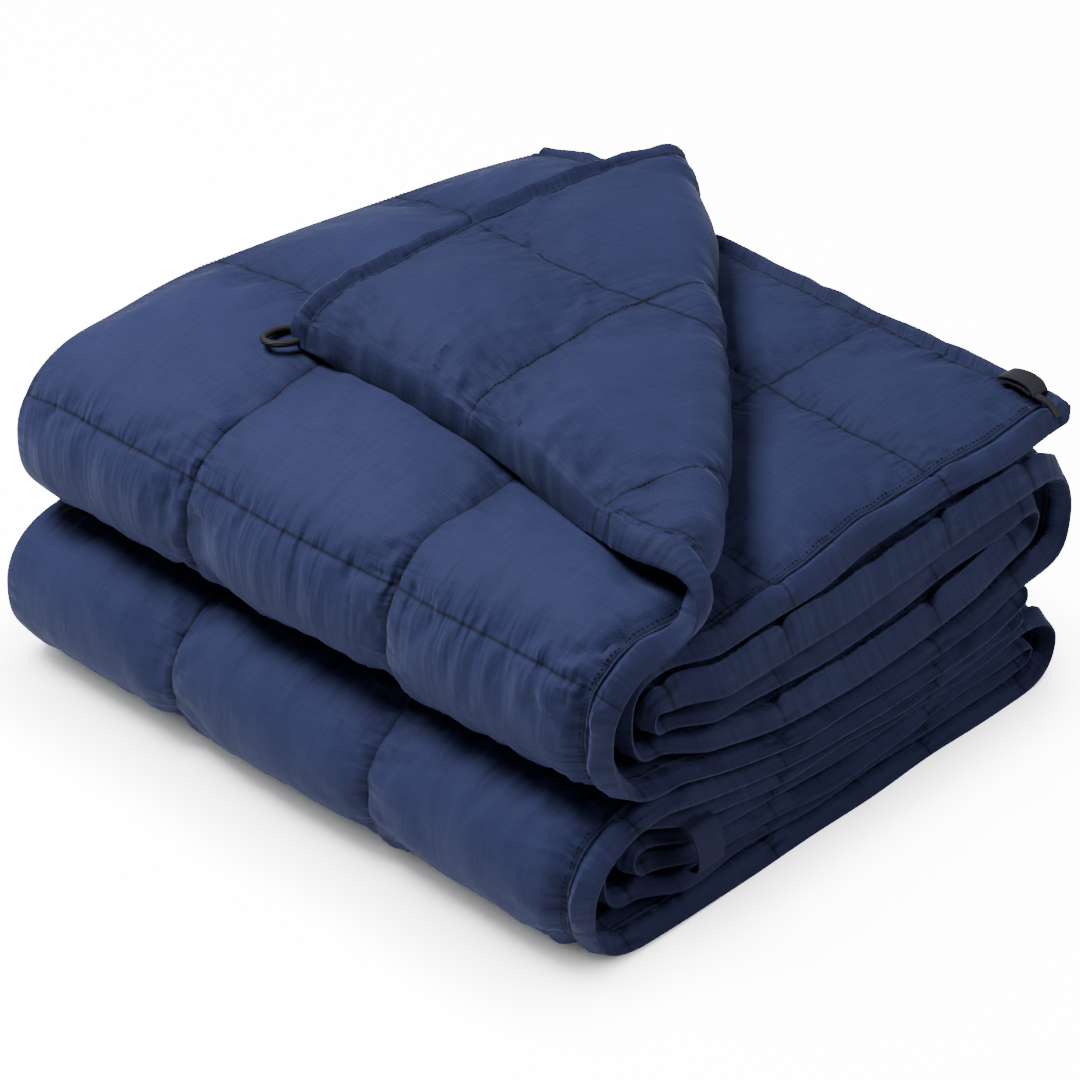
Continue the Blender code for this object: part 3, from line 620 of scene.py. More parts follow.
    def past_line(self, u, y):
        """How far a flat point of the top layer lies past the line that the corner turns back along."""
        return (self.section.end_top - u - y - FLAP_LINE) / math.sqrt(2.0)

    def shown(self, u):
        """How far the outer side shows: on the top of the upper bundle and round both left folds."""
        start, end = self.section.left_fold
        quarter = (end - start) / 4.0
        shown = 1.0 - smooth_step(u, start - 1.0, end - quarter)
        if not self.has_flap:
            shown = shown * smooth_step(u, start, start + quarter)
        return shown

    def slack(self, u, y):
        """How far the quilting lines have wandered at a flat point, along u and along y."""
        if not self.has_flap:
            return np.zeros_like(u + y), np.zeros_like(u + y)
        centre, half, ends, shift = SLACK_TOP
        along_u = shift * np.maximum(0.0, 1.0 - ((u - centre) / half) ** 2) * (1.0 - smooth_step(y, *ends))
        panel = self.section.runs[4][0]
        across, begins, ends, shift = SLACK_PANEL
        along_y = shift * smooth_step(u, panel + across[0], panel + across[1]) * smooth_step(y, *begins)
        return along_u, along_y * (1.0 - smooth_step(y, *ends))

    def taut(self, u, y):
        """How taut the cloth is round the left fold, and round the fold of the turned-back corner."""
        start, end = self.section.left_fold
        nose = smooth_step(u, start - NOSE_FROM, start + NOSE_FULL)
        nose = nose * (1.0 - smooth_step(u, end, end + NOSE_AFTER))
        if not self.has_flap:
            return nose, 0.0
        return nose, np.where(u < start - NOSE_FROM, ROLL_TAUT * self.on_roll(u, y), 0.0)

    def enclosed(self, u):
        """1 on the layers inside the bundle, which other layers keep flat."""
        first, last = self.section.runs[3][0], self.section.runs[4][0]
        return smooth_step(u, first, first + 4.0) * (1.0 - smooth_step(u, last - 6.0, last - 2.0))

    def halves(self, u, y):
        """Thickness to the outer and to the inner side of the middle, without creases."""
        thick = self.section.at(u)[2]
        slack_u, slack_y = self.slack(u, y)
        across, from_u = pocket(u - slack_u, self.section.seams)
        along, _ = pocket(y + slack_y, SEAM_ROWS)
        edge = self.from_edge(u, y)
        drawn = 1.0 - BAND_DRAWN * np.exp(-(from_u / BAND_DRAWN_WIDTH) ** 2) * smooth_step(edge, 0.2, 0.8)
        puff = BAND_CROWN * np.sin(math.pi * np.clip(edge / PUFF_WIDTH, 0.0, 1.0) ** PUFF_LEAN) ** 0.7 * drawn
        in_band = edge < BAND
        nose, roll = self.taut(u, y)
        nose = nose * smooth_step(edge, BAND, BAND + 1.0)
        crown = (across + (1.0 - across) * NOSE_TAUT * nose) * along ** (1.0 - NOSE_NARROW * nose)
        crown = crown + (1.0 - crown) * roll * smooth_step(edge, BAND, BAND + 1.0)
        crown = np.where(in_band, puff, crown)
        curled = self.curled(u, y)
        crown = crown + (np.maximum(crown, across * pocket(y, CURLED_ROWS)[0]) - crown) * curled
        inside = self.enclosed(u) * smooth_step(y, BAND, BAND + 4.0)
        seam_part = SEAM_PART + (INNER_SEAM_PART - SEAM_PART) * inside
        share = seam_part + (1.0 - seam_part) * crown
        near = np.clip((DEPTH - y) / EDGE_ROUND, 0.0, 1.0)
        share = share * (EDGE_PART + (1.0 - EDGE_PART) * np.sqrt(1.0 - (1.0 - near) ** 2))
        thin = np.minimum(2.0 * THIN_EDGE / thick, share)
        share = thin + (share - thin) * np.clip(edge / WEDGE, 0.0, 1.0) ** WEDGE_POWER
        outer = inner = share * thick / 2.0
        outer = outer * (1.0 + (SHOWN_CROWN - 1.0) * crown * self.shown(u))
        if self.has_flap:
            on_panel = u > self.section.runs[4][0]
            uncovered = smooth_step(self.section.at(u)[0] - y, FLAP_LINE, FLAP_LINE + 4.0)
            inner = inner * np.where(on_panel, 1.0 + (SHOWN_CROWN - 1.0) * crown * uncovered, 1.0)
            on_top = u < self.section.left_fold[0]
            past = self.past_line(u, y)
            turned = smooth_step(past, -FLAP_SPREAD, 0.0)
            outer = outer * np.where(on_top, 1.0 + (FLAP_UNDERSIDE - 1.0) * turned, 1.0)
            tight = 1.0 - smooth_step(np.abs(past), FLAP_SPREAD * 0.6, FLAP_SPREAD)
            eased = outer * (1.0 - tight) + np.minimum(outer, FLAP_BEND * FLAP_INSIDE) * tight
            outer = np.where(on_top, eased, outer)
            raised = (SHOWN_CROWN - 1.0) * turned * (1.0 - ROLL_FLAT * self.on_roll(u, y))
            raised = raised + (FLAP_CROWN - SHOWN_CROWN) * self.on_flap(u, y)
            inner = inner * np.where(on_top, 1.0 + crown * raised, 1.0)
        ridge = RIDGE_HEIGHT * np.exp(-((edge - RIDGE_AT) / RIDGE_WIDTH) ** 2) * (1.0 - curled)
        return outer + ridge, inner + ridge

    def creases(self, u, y, look):
        """Small heights over both sides: gathers at the quilting lines, lumps of filling and soft creases.

        The numbers in the calls for noise are its scales and slants.
        """
        slack_u, slack_y = self.slack(u, y)
        line_u, line_y = u - slack_u, y + slack_y
        across, from_u = pocket(line_u, self.section.seams)
        along, from_y = pocket(line_y, SEAM_ROWS)
        edge = self.from_edge(u, y)
        seed = self.seed
        reach = look.gather_reach
        at_rows = PUCKERS_ALONG.at(u * look.gathers + seed, y * GATHER_CHANGE + seed)
        at_columns = PUCKERS_ACROSS.at(y * look.gathers + seed, u * GATHER_CHANGE + seed)
        at_rows, at_columns = np.exp(-from_y / reach) * at_rows, np.exp(-from_u / reach) * at_columns
        gathers = look.gather_depth * (at_rows + at_columns)
        thick = np.clip(self.section.at(u)[2] / WRINKLED_THICKNESS, LEAST_WRINKLED, 1.0)
        wrinkles = look.wrinkles * wrinkled_patch().at(line_u, line_y, self.section.seams, SEAM_ROWS, seed)
        wrinkles = wrinkles * thick
        wrinkles = wrinkles * (CALM + (1.0 - CALM) * np.exp(-np.minimum(from_u, from_y) / CALM_FROM))
        if self.has_flap:
            gathered, crisp = self.flap_creases(u, y)
            wrinkles = wrinkles * (1.0 + FLAP_WRINKLES * self.on_flap(u, y)) + gathered + crisp
        lumps = look.lump_height * LUMPS.at(u / 3.1 + seed, y / 3.4) * across * along
        drift = 1.6 * WAVES.at(u / 6.0, y / 6.0 + seed)
        soft = look.crease_depth * CREASES.at((u + y) / 2.2 + drift, (u - y) / 7.5 + seed)
        steep = self.steep(u)
        if self.has_flap:
            steep = steep + np.where(u < self.section.left_fold[0], self.on_roll(u, y), 0.0)
        pleats = look.pleat_depth * steep * np.exp(-y / PLEAT_REACH)
        pleats = pleats * PUCKERS_ALONG.at(u * 1.5 + seed, y * 0.12)
        in_band = edge < BAND
        band = PUCKERS_ALONG.at(u * 0.75 + y * 0.8, seed) + 0.7 * LUMPS.at(u / 3.0, seed)
        band = look.gather_depth * band + pleats
        away = 1.0 - smooth_step(y, DEPTH - 3.5, DEPTH - 0.8)
        cloth = (gathers + wrinkles + lumps + soft + pleats * smooth_step(edge, BAND, BAND + 0.5)) * away
        band = band * smooth_step(edge, 0.1, 0.6) * away
        joined_on = np.maximum(self.curled(u, y), smooth_step(edge, BAND_JOIN, BAND))
        return np.where(in_band, band + (cloth - band) * joined_on, cloth)

    def flap_creases(self, u, y):
        """Gathers over the turned-back corner's curled edge, and crisp creases that run in from it."""
        flap = self.on_flap(u, y)
        row, reach = FLAP_GATHERED
        gathered = PUCKERS_ALONG.at(u * 0.8 + 0.25 * y, y * 0.10)
        gathered = gathered + 0.5 * PUCKERS_ACROSS.at(u * 1.7 + 0.3 * y, y * 0.2)
        turn = 1.2 * WAVES.at(u / 4.0, y / 4.0)
        crisp = (1.0 - np.abs(CREASES.at((u - 0.5 * y) / 1.5 + turn, (y + 0.5 * u) / 6.5))) ** 3
        return (FLAP_GATHERS * flap * np.exp(-((y - row) / reach) ** 2) * gathered,
                FLAP_CREASES * flap * crisp * np.exp(-y / FLAP_CREASED))

    def on_flap(self, u, y):
        """1 on the turned-back corner, fading out over its fold."""
        turned = smooth_step(self.past_line(u, y), 0.0, 2.0 * FLAP_SPREAD)
        return np.where(u < self.section.left_fold[0], turned, 0.0)

    def on_roll(self, u, y):
        """1 along the line that the corner turns back along, fading out to both sides."""
        return np.exp(-(self.past_line(u, y) / FLAP_SPREAD) ** 2)

    def curled(self, u, y):
        """1 on the turned-back corner's near side, where the pockets run on round its curled edge."""
        if not self.has_flap:
            return 0.0
        return self.on_flap(u, y) * (1.0 - smooth_step(y, 6.0, 9.0)) * smooth_step(u, BAND, BAND + 1.0)

    def curl(self, u, y):
        """Share of the curl at a distance from the edge: none inwards of the curl, steep at the edge."""
        inward = np.clip((y + 0.3) / FLAP_CURL_WIDTH, 0.0, 1.0)
        return self.on_flap(u, y) * (1.0 - np.sqrt(1.0 - (1.0 - inward) ** 2))

    def steep(self, u):
        """How upright the cloth stands in the section: 1 at the tip of a fold."""
        before, after = [np.interp(u + step, self.section.u, self.section.z)
                         for step in (-STEEP_STEP, STEEP_STEP)]
        return np.clip(np.abs(after - before) / (2.0 * STEEP_STEP), 0.0, 1.0)

    def droop(self, u, y, outer, inner):
        """How far the free edges come down, so that they lie on what is under them."""
        edge = self.from_edge(u, y)
        lost = self.section.at(u)[2] / 2.0 * BAND_CROWN - (outer + inner) / 2.0
        down = DROOP * np.maximum(lost, 0.0) * (1.0 - smooth_step(edge, WEDGE, BAND))
        down = down * (1.0 - self.steep(u) ** 2)
        if self.has_flap:
            down = down + FLAP_CURL * self.curl(u, y)
        return down

    def tucked_under(self, u, y):
        """How far the turned-back corner's near edge goes back under it."""
        if not self.has_flap:
            return 0.0
        return FLAP_CURL_IN * self.curl(u, y)

    def uneven(self, u, y):
        """How far the near edges wander in and out, and go back inside the inner left folds."""
        above = smooth_step(self.section.at(u)[1], 0.8, 2.5)
        wander = EDGE_WANDER * (0.3 + 0.7 * above) * WAVES.at(u / EDGE_WAVE + self.seed, 0.5)
        back = 0.0
        for first, last in self.inner_folds():
            inside = smooth_step(u, first - 3.0, first) * (1.0 - smooth_step(u, last, last + 3.0))
            back = back + INNER_BACK * inside
        near = 1.0 - smooth_step(y, 1.0, EDGE_WANDER_DEPTH)
        if self.has_flap:
            near = near * (1.0 - self.on_flap(u, y))
        return (wander + back) * near

    def inner_folds(self):
        """Stretches of u of the two folds on the left that lie inside the outer one."""
        section = self.section
        folds = UPPER_FOLDS if self.has_flap else LOWER_FOLDS
        for fold in (folds[2], folds[4]):
            row = dict(zip(FOLD_COLUMNS, fold))
            begin, x, _ = section.runs[row["start"]]
            yield begin + abs(x - row["x_root"]), section.runs[row["end"]][0]

    def sides(self, u, y, look, tucked=False):
        """Outer and inner surface for flat points, in cm, and the thickness to the outer side."""
        middle, normal = self.frame(u, y)
        outer, inner = self.halves(u, y)
        middle[..., 2] -= self.droop(u, y, outer, inner)
        middle[..., 0] += self.tucked_under(u, y)
        middle[..., 1] += self.uneven(u, y)
        if tucked:
            under = self.from_edge(u, y) < BAND
            part = TUCKED_PART + (1.0 - TUCKED_PART) * self.curled(u, y)
            outer = np.where(under, part * outer, outer)
            inner = np.where(under, part * inner, inner)
        small = self.creases(u, y, look)
        top = middle + normal * np.maximum(outer + small, LEAST_HALF)[..., None]
        bottom = middle - normal * np.maximum(inner + small * INNER_CREASES, LEAST_HALF)[..., None]
        for side in (top, bottom):
            side[..., 2] = np.maximum(side[..., 2], 0.0)
        return top, bottom, outer

    def round_corner(self, u, y):
        """Rounds the flat cloth's two near corners."""
        for end, way in ((0.0, 1.0), (self.section.length, -1.0)):
            a = CORNER_ROUND - (u - end) * way
            b = CORNER_ROUND - y
            inside = (a > 0.0) & (b > 0.0)
            length = np.hypot(a, b)
            scale = np.where(inside, np.maximum(a, b) / np.maximum(length, 1e-6), 1.0)
            u = np.where(inside, end + way * (CORNER_ROUND - a * scale), u)
            y = np.where(inside, CORNER_ROUND - b * scale, y)
        return u, y


UPPER = Cloth(Section(UPPER_LAYERS, UPPER_FOLDS, UPPER_ENDS), True, 3.0)
LOWER = Cloth(Section(LOWER_LAYERS, LOWER_FOLDS, LOWER_ENDS), False, 19.0)


# --- meshes ---

def make_object(name, points, faces, flat=None, masks=None, sharp=50.0):
    """A mesh object from points in cm, with the flat cloth's coordinates as its UV map."""
    data = bpy.data.meshes.new(name)
    data.from_pydata((np.asarray(points) * CM).tolist(), [], faces)
    if flat is not None:
        corner = np.empty(len(data.loops), dtype=np.int32)
        data.loops.foreach_get("vertex_index", corner)
        layer = data.uv_layers.new(name="cloth")
        layer.data.foreach_set("uv", (np.asarray(flat)[corner] * CM).astype(np.float32).ravel())
    for label, values in (masks or {}).items():
        attribute = data.attributes.new(label, "FLOAT", "POINT")
        attribute.data.foreach_set("value", np.asarray(values, dtype=np.float32))
    data.validate()
    data.shade_smooth()
    data.set_sharp_from_angle(angle=math.radians(sharp))
    made = bpy.data.objects.new(name, data)
    bpy.context.scene.collection.objects.link(made)
    return made


def stations(first, last, seams, fine, coarse, ease=1.2):
    """Values from first to last, closer together near the seams."""
    seams = np.asarray(seams)
    values = [first]
    while values[-1] < last:
        away = np.min(np.abs(seams - values[-1])) if len(seams) else ease
        values.append(values[-1] + fine + (coarse - fine) * min(away / ease, 1.0))
    values = np.array(values)
    return first + (values - first) * (last - first) / (values[-1] - first)


def rows_between(first, last, look, visible):
    """Flat y of the rows of points: close together where they show, and near both edges on inner layers."""
    if visible:
        return stations(first, last, SEAM_ROWS, look.fine_step, look.step)
    near_end, far_start = first + HIDDEN_NEAR, last - HIDDEN_FAR
    near = stations(first, near_end, SEAM_ROWS, look.fine_step, look.step)
    middle = stations(near_end, far_start, SEAM_ROWS[1:-1], 3.0 * look.step, 4.0 * look.step)
    far = stations(far_start, last, SEAM_ROWS, 1.5 * look.step, 2.0 * look.step)
    return np.concatenate((near, middle[1:], far[1:]))


def thick_sheet(name, cloth, flat, cells, look, tucked=False):
    """A closed sheet over the flat cells: outer side, inner side, and a wall round the free edges."""
    u, y = cloth.round_corner(flat[:, 0], flat[:, 1])
    top, bottom, thick = cloth.sides(u, y, look, tucked)
    slack_u, slack_y = cloth.slack(u, y)
    near_u = line_distance(u - slack_u, cloth.section.seams)
    near_y = line_distance(y + slack_y, SEAM_ROWS)
    if cloth.has_flap:
        near_side = smooth_step(cloth.on_flap(u, y), 0.4, 0.9) * (1.0 - smooth_step(y, 4.0, 8.0))
        near_y = near_y - LINE_AWAY * near_side
    count = len(flat)
    edges = {}
    for cell in cells.tolist():
        for one, two in zip(cell, cell[1:] + cell[:1]):
            if (two, one) in edges:
                del edges[(two, one)]
            else:
                edges[(one, two)] = True
    faces = cells.tolist() + (cells[:, ::-1] + count).tolist()
    faces += [(one, one + count, two + count, two) for one, two in edges]
    # crest: painted light on the thick pocket crowns, painted shade where the cloth is thin
    masks = {"crest": np.clip(thick / CREST, 0.0, 1.0), "near_u": near_u * CM, "near_y": near_y * CM}
    return make_object(name, np.concatenate((top, bottom)), faces, np.concatenate((flat, flat)),
                       {label: np.concatenate((values, values)) for label, values in masks.items()})


def cloth_piece(name, cloth, first, last, look, visible):
    """A stretch of the quilted cloth, from u = first to last."""
    step = look.step if visible else HIDDEN_STEP * look.step
    fine = look.fine_step if visible else look.step
    us = stations(first, last, cloth.section.seams, fine, step)
    ys = np.concatenate(([BAND - TUCK], rows_between(BAND + 0.02, DEPTH, look, visible)))
    if first < BAND:
        us = np.concatenate(([first], us[us > BAND]))
    if last > cloth.section.length - BAND:
        us = np.concatenate((us[us < cloth.section.length - BAND], [last]))
    flat = np.stack(np.meshgrid(us, ys, indexing="ij"), axis=-1).reshape(-1, 2)
    return thick_sheet(name, cloth, flat, grid_cells(numbered(len(us), len(ys))), look, True)


def binding_piece(name, cloth, look):
    """The bound edge of one bundle, along its near edge and its two free ends, in one strip."""
    length = cloth.section.length
    band = np.array(BAND_STATIONS)
    middle = stations(band[-1], length - band[-1], [], look.step, 1.15 * look.step)
    us = np.concatenate((band, middle[1:-1], length - band[::-1]))
    ends = stations(band[-1], DEPTH, [], look.step, 1.15 * look.step)
    pieces = [(us, band), (band, ends), (length - band[::-1], ends)]
    numbers, flat, cells = {}, [], []
    for columns, rows in pieces:
        index = np.empty((len(columns), len(rows)), dtype=int)
        for i, u in enumerate(columns):
            for j, y in enumerate(rows):
                key = (round(float(u), 4), round(float(y), 4))
                if key not in numbers:
                    numbers[key] = len(flat)
                    flat.append((float(u), float(y)))
                index[i, j] = numbers[key]
        cells.append(grid_cells(index))
    return thick_sheet(name, cloth, np.array(flat), np.concatenate(cells), look)


def tube(path, radius, sides):
    """Points and faces of a closed round tube along a path of points; radius may change along it."""
    path = np.asarray(path, float)
    radius = np.broadcast_to(radius, len(path))
    along = np.gradient(path, axis=0)
    along /= np.linalg.norm(along, axis=1, keepdims=True)
    side = np.cross(along, (0.0, 0.0, 1.0))
    short = np.linalg.norm(side, axis=1) < 0.2
    side[short] = np.cross(along[short], (1.0, 0.0, 0.0))
    side /= np.linalg.norm(side, axis=1, keepdims=True)
    rise = np.cross(side, along)
    turns = np.linspace(0.0, 2.0 * math.pi, sides, endpoint=False)
    ring = (side[:, None] * np.cos(turns)[None, :, None] + rise[:, None] * np.sin(turns)[None, :, None])
    points = path[:, None] + ring * radius[:, None, None]
    faces = []
    for i in range(len(path) - 1):
        for j in range(sides):
            k = (j + 1) % sides
            faces.append((i * sides + j, i * sides + k, (i + 1) * sides + k, (i + 1) * sides + j))
    faces.append(tuple(range(sides))[::-1])
    faces.append(tuple((len(path) - 1) * sides + j for j in range(sides)))
    return points.reshape(-1, 3), faces


def curve_through(points, steps):
    """A smooth curve through points, as more points."""
    points = np.asarray(points, float)
    ends = np.concatenate((2.0 * points[:1] - points[1:2], points, 2.0 * points[-1:] - points[-2:-1]))
    curve = []
    for i in range(1, len(ends) - 2):
        for part in np.linspace(0.0, 1.0, steps, endpoint=False):
            a, b, c, d = ends[i - 1:i + 3]
            curve.append(0.5 * (2.0 * b + (c - a) * part + (2.0 * a - 5.0 * b + 4.0 * c - d) * part ** 2
                                + (3.0 * b - a - 3.0 * c + d) * part ** 3))
    return np.array(curve + [points[-1]])


def band_along(path, across, width, thick, cells=8):
    """Points, faces and flat coordinates of a flat ribbon along a path, with thick woven edges."""
    path = np.asarray(path, float)
    along = np.gradient(path, axis=0)
    along /= np.linalg.norm(along, axis=1, keepdims=True)
    across = np.asarray(across, float)
    out = np.cross(along, across)
    out /= np.linalg.norm(out, axis=1, keepdims=True)
    length = np.concatenate(([0.0], np.cumsum(np.linalg.norm(np.diff(path, axis=0), axis=1))))
    shares = np.linspace(-0.5, 0.5, cells + 1)
    half = thick / 2.0 * np.where(np.abs(shares) > 0.45, 0.7, 1.0)
    points, flat = [], []
    for side in (1.0, -1.0):
        grid = path[:, None] + across * (shares * width)[None, :, None]
        grid = grid + side * out[:, None] * half[None, :, None]
        points.append(grid.reshape(-1, 3))
        cloth = np.broadcast_arrays(length[:, None], (shares * width)[None])
        flat.append(np.stack(cloth, axis=-1).reshape(-1, 2))
    index = numbered(len(path), cells + 1)
    top, count = grid_cells(index), index.size
    faces = top.tolist() + (top[:, ::-1] + count).tolist()
    loop = np.concatenate((index[:, 0], index[-1, 1:], index[::-1, -1][1:], index[0, ::-1][1:]))
    faces += [(b, a, a + count, b + count) for a, b in zip(loop.tolist(), loop.tolist()[1:])]
    return np.concatenate(points), faces, np.concatenate(flat)


def stitch_line(cloth, us, ys, side, look):
    """Points and faces of the stitches along a line of flat points, on one side of the cloth."""
    top, bottom, _ = cloth.sides(us, ys, look)
    surface, other = (top, bottom) if side > 0 else (bottom, top)
    out = surface - other
    out /= np.maximum(np.linalg.norm(out, axis=1, keepdims=True), 1e-6)
    line = surface + out * look.thread * 0.2
    length = np.concatenate(([0.0], np.cumsum(np.linalg.norm(np.diff(line, axis=0), axis=1))))
    share, dip, thick = np.array(STITCH_SHAPE).T
    points, faces = [], []
    start = look.stitch_gap
    while start + look.stitch_length < length[-1]:
        places = start + look.stitch_length * share
        path, up = [np.stack([np.interp(places, length, values[:, k]) for k in range(3)], axis=1)
                    for values in (line, out)]
        path -= up * (look.thread * dip)[:, None]
        new_points, new_faces = tube(path, look.thread * thick, 4)
        base = sum(len(part) for part in points)
        points.append(new_points)
        faces += [tuple(index + base for index in face) for face in new_faces]
        start += look.stitch_length + look.stitch_gap
    return points, faces


def joined(parts):
    """Several (points, faces) as one."""
    points, faces, base = [], [], 0
    for part_points, part_faces in parts:
        faces += [tuple(index + base for index in face) for face in part_faces]
        points.append(np.asarray(part_points))
        base += len(part_points)
    return np.concatenate(points), faces


# --- node groups and materials ---

def set_inputs(tree, node, inputs):
    """Feeds a node's inputs, each by another node's output or by a value."""
    for name, value in inputs.items():
        if isinstance(value, bpy.types.NodeSocket):
            tree.links.new(value, node.inputs[name])
        else:
            node.inputs[name].default_value = value


def add_node(tree, kind, inputs=None, **settings):
    """A new node with its settings and inputs."""
    node = tree.nodes.new(kind)
    for name, value in settings.items():
        setattr(node, name, value)
    set_inputs(tree, node, inputs or {})
    return node


def node_group(name, inputs, outputs):
    """An empty shader node group; inputs are (name, type, default) and outputs (name, type)."""
    group = bpy.data.node_groups.new(name, "ShaderNodeTree")
    for label, kind, default in inputs:
        socket = group.interface.new_socket(name=label, in_out="INPUT", socket_type=kind)
        if default is not None:
            socket.default_value = default
    for label, kind in outputs:
        group.interface.new_socket(name=label, in_out="OUTPUT", socket_type=kind)
    return group, group.nodes.new("NodeGroupInput").outputs, group.nodes.new("NodeGroupOutput")


def math_node(tree, operation, one, two=None, clamp=False):
    """The result of a sum on one or two numbers or outputs."""
    inputs = {0: one} if two is None else {0: one, 1: two}
    return add_node(tree, "ShaderNodeMath", inputs, operation=operation, use_clamp=clamp).outputs[0]


def noise_node(tree, vector, scale, detail=2.0, roughness=0.5):
    """Smooth noise at the vector."""
    inputs = {"Vector": vector, "Scale": scale, "Detail": detail, "Roughness": roughness}
    return add_node(tree, "ShaderNodeTexNoise", inputs).outputs[0]


def stretched_noise(tree, vector, part, scale, detail, roughness=0.5):
    """The noise drawn out along y, and drawn out along x."""
    noises = []
    for stretch in ((1.0, part, 1.0), (part, 1.0, 1.0)):
        scaled = add_node(tree, "ShaderNodeVectorMath", {0: vector, 1: stretch}, operation="MULTIPLY")
        noises.append(noise_node(tree, scaled.outputs[0], scale, detail, roughness))
    return noises


def bent(tree, vector, scale, push):
    """The vector moved about a little by noise, so that nothing runs quite straight."""
    noise = add_node(tree, "ShaderNodeTexNoise", {"Vector": vector, "Scale": scale})
    inputs = {0: noise.outputs["Color"], 1: (push, push, push), 2: vector}
    return add_node(tree, "ShaderNodeVectorMath", inputs, operation="MULTIPLY_ADD").outputs[0]


def mixed(tree, factor, one, two):
    """A colour between two others."""
    return add_node(tree, "ShaderNodeMix", {"Factor": factor, 6: one, 7: two}, data_type="RGBA").outputs[2]


def bump_node(tree, height, strength, distance, normal=None):
    """The normal over a height, and over another bump's normal where one is given."""
    inputs = {"Height": height, "Strength": strength, "Distance": distance}
    if normal is not None:
        inputs["Normal"] = normal
    return add_node(tree, "ShaderNodeBump", inputs).outputs["Normal"]


def weave_group():
    """Plain weave: over-and-under threads both ways, with uneven thickness."""
    group, given, end = node_group(
        "Plain weave", [("Vector", VECTOR, None), ("Thread Size", FLOAT, 0.0008)],
        [("Height", FLOAT), ("Slub", FLOAT)])
    split = add_node(group, "ShaderNodeSeparateXYZ", {0: given["Vector"]})
    turns = math_node(group, "DIVIDE", math.pi, given["Thread Size"])
    threads = [math_node(group, "SINE", math_node(group, "MULTIPLY", split.outputs[axis], turns))
               for axis in ("X", "Y")]
    weave = math_node(group, "MULTIPLY", *threads)
    slub = math_node(group, "ADD", *stretched_noise(group, given["Vector"], 0.06, 900.0, 1.0))
    height = math_node(group, "ADD", math_node(group, "MULTIPLY", weave, 0.35), slub)
    set_inputs(group, end, {"Height": height, "Slub": math_node(group, "SUBTRACT", slub, 0.5)})
    return group


def creased_group():
    """Soft small creases in the cloth, and a broad unevenness."""
    group, given, end = node_group(
        "Soft creases", [("Vector", VECTOR, None), ("Size", FLOAT, 60.0)],
        [("Height", FLOAT), ("Patches", FLOAT)])
    where = bent(group, given["Vector"], 18.0, 0.02)
    creases = stretched_noise(group, where, 0.45, given["Size"], 3.0, 0.55)
    set_inputs(group, end, {"Height": math_node(group, "ADD", *creases),
                            "Patches": noise_node(group, given["Vector"], 14.0, 3.0, 0.6)})
    return group


def pucker_group():
    """Fine puckers that run out from the quilting lines, and the shade in the lines themselves."""
    group, given, end = node_group(
        "Seam puckers",
        [("Vector", VECTOR, None), ("Near U", FLOAT, 1.0), ("Near Y", FLOAT, 1.0), ("Reach", FLOAT, 0.012),
         ("Line Width", FLOAT, 0.0009)],
        [("Height", FLOAT), ("Line", FLOAT)])
    where = bent(group, given["Vector"], 40.0, 0.006)
    heights, lines = [], []
    for label, ripple in zip(("Near Y", "Near U"), stretched_noise(group, where, 0.16, 190.0, 1.5, 0.4)):
        away = math_node(group, "ABSOLUTE", given[label])
        out = math_node(group, "DIVIDE", away, given["Reach"])
        fade = math_node(group, "EXPONENT", math_node(group, "MULTIPLY", out, -1.0))
        heights.append(math_node(group, "MULTIPLY", math_node(group, "SUBTRACT", ripple, 0.5), fade))
        close = math_node(group, "DIVIDE", away, given["Line Width"])
        close = math_node(group, "MULTIPLY", math_node(group, "MULTIPLY", close, close), -1.0)
        lines.append(math_node(group, "EXPONENT", close))
    set_inputs(group, end, {"Height": math_node(group, "ADD", *heights),
                            "Line": math_node(group, "MAXIMUM", *lines)})
    return group


def tone_group():
    """Cloth colour: darker and paler random patches, painted shade in the seams and on thin cloth, painted
    light on the crowns, and painted shade in the quilting lines.
    """
    group, given, end = node_group(
        "Dyed cloth",
        [("Deep", COLOUR, (0.0, 0.0, 0.0, 1.0)), ("Pale Tone", COLOUR, WHITE), ("Crest", FLOAT, 0.5),
         ("Patches", FLOAT, 0.5), ("Slub", FLOAT, 0.5), ("Line", FLOAT, 0.0)],
        [("Color", COLOUR)])
    crest, patches, slub = [math_node(group, "MULTIPLY", given[label], share) for label, share in LIGHT_AND_TONE_PARTS]
    amount = math_node(group, "ADD", math_node(group, "ADD", crest, patches), slub, clamp=True)
    # Painted light and shade from Crest, mixed with the random tone of Patches and Slub
    tone_and_painted_light = mixed(group, amount, given["Deep"], given["Pale Tone"])
    # Painted shade in the quilting lines
    in_line = math_node(group, "MULTIPLY", given["Line"], SEAM_SHADE)
    set_inputs(group, end, {"Color": mixed(group, in_line, tone_and_painted_light, SEAM_SHADE_COLOUR)})
    return group


def new_material(name):
    """A new material, its node tree and its shader."""
    made = bpy.data.materials.new(name)
    made.use_nodes = True
    return made, made.node_tree, made.node_tree.nodes["Principled BSDF"]


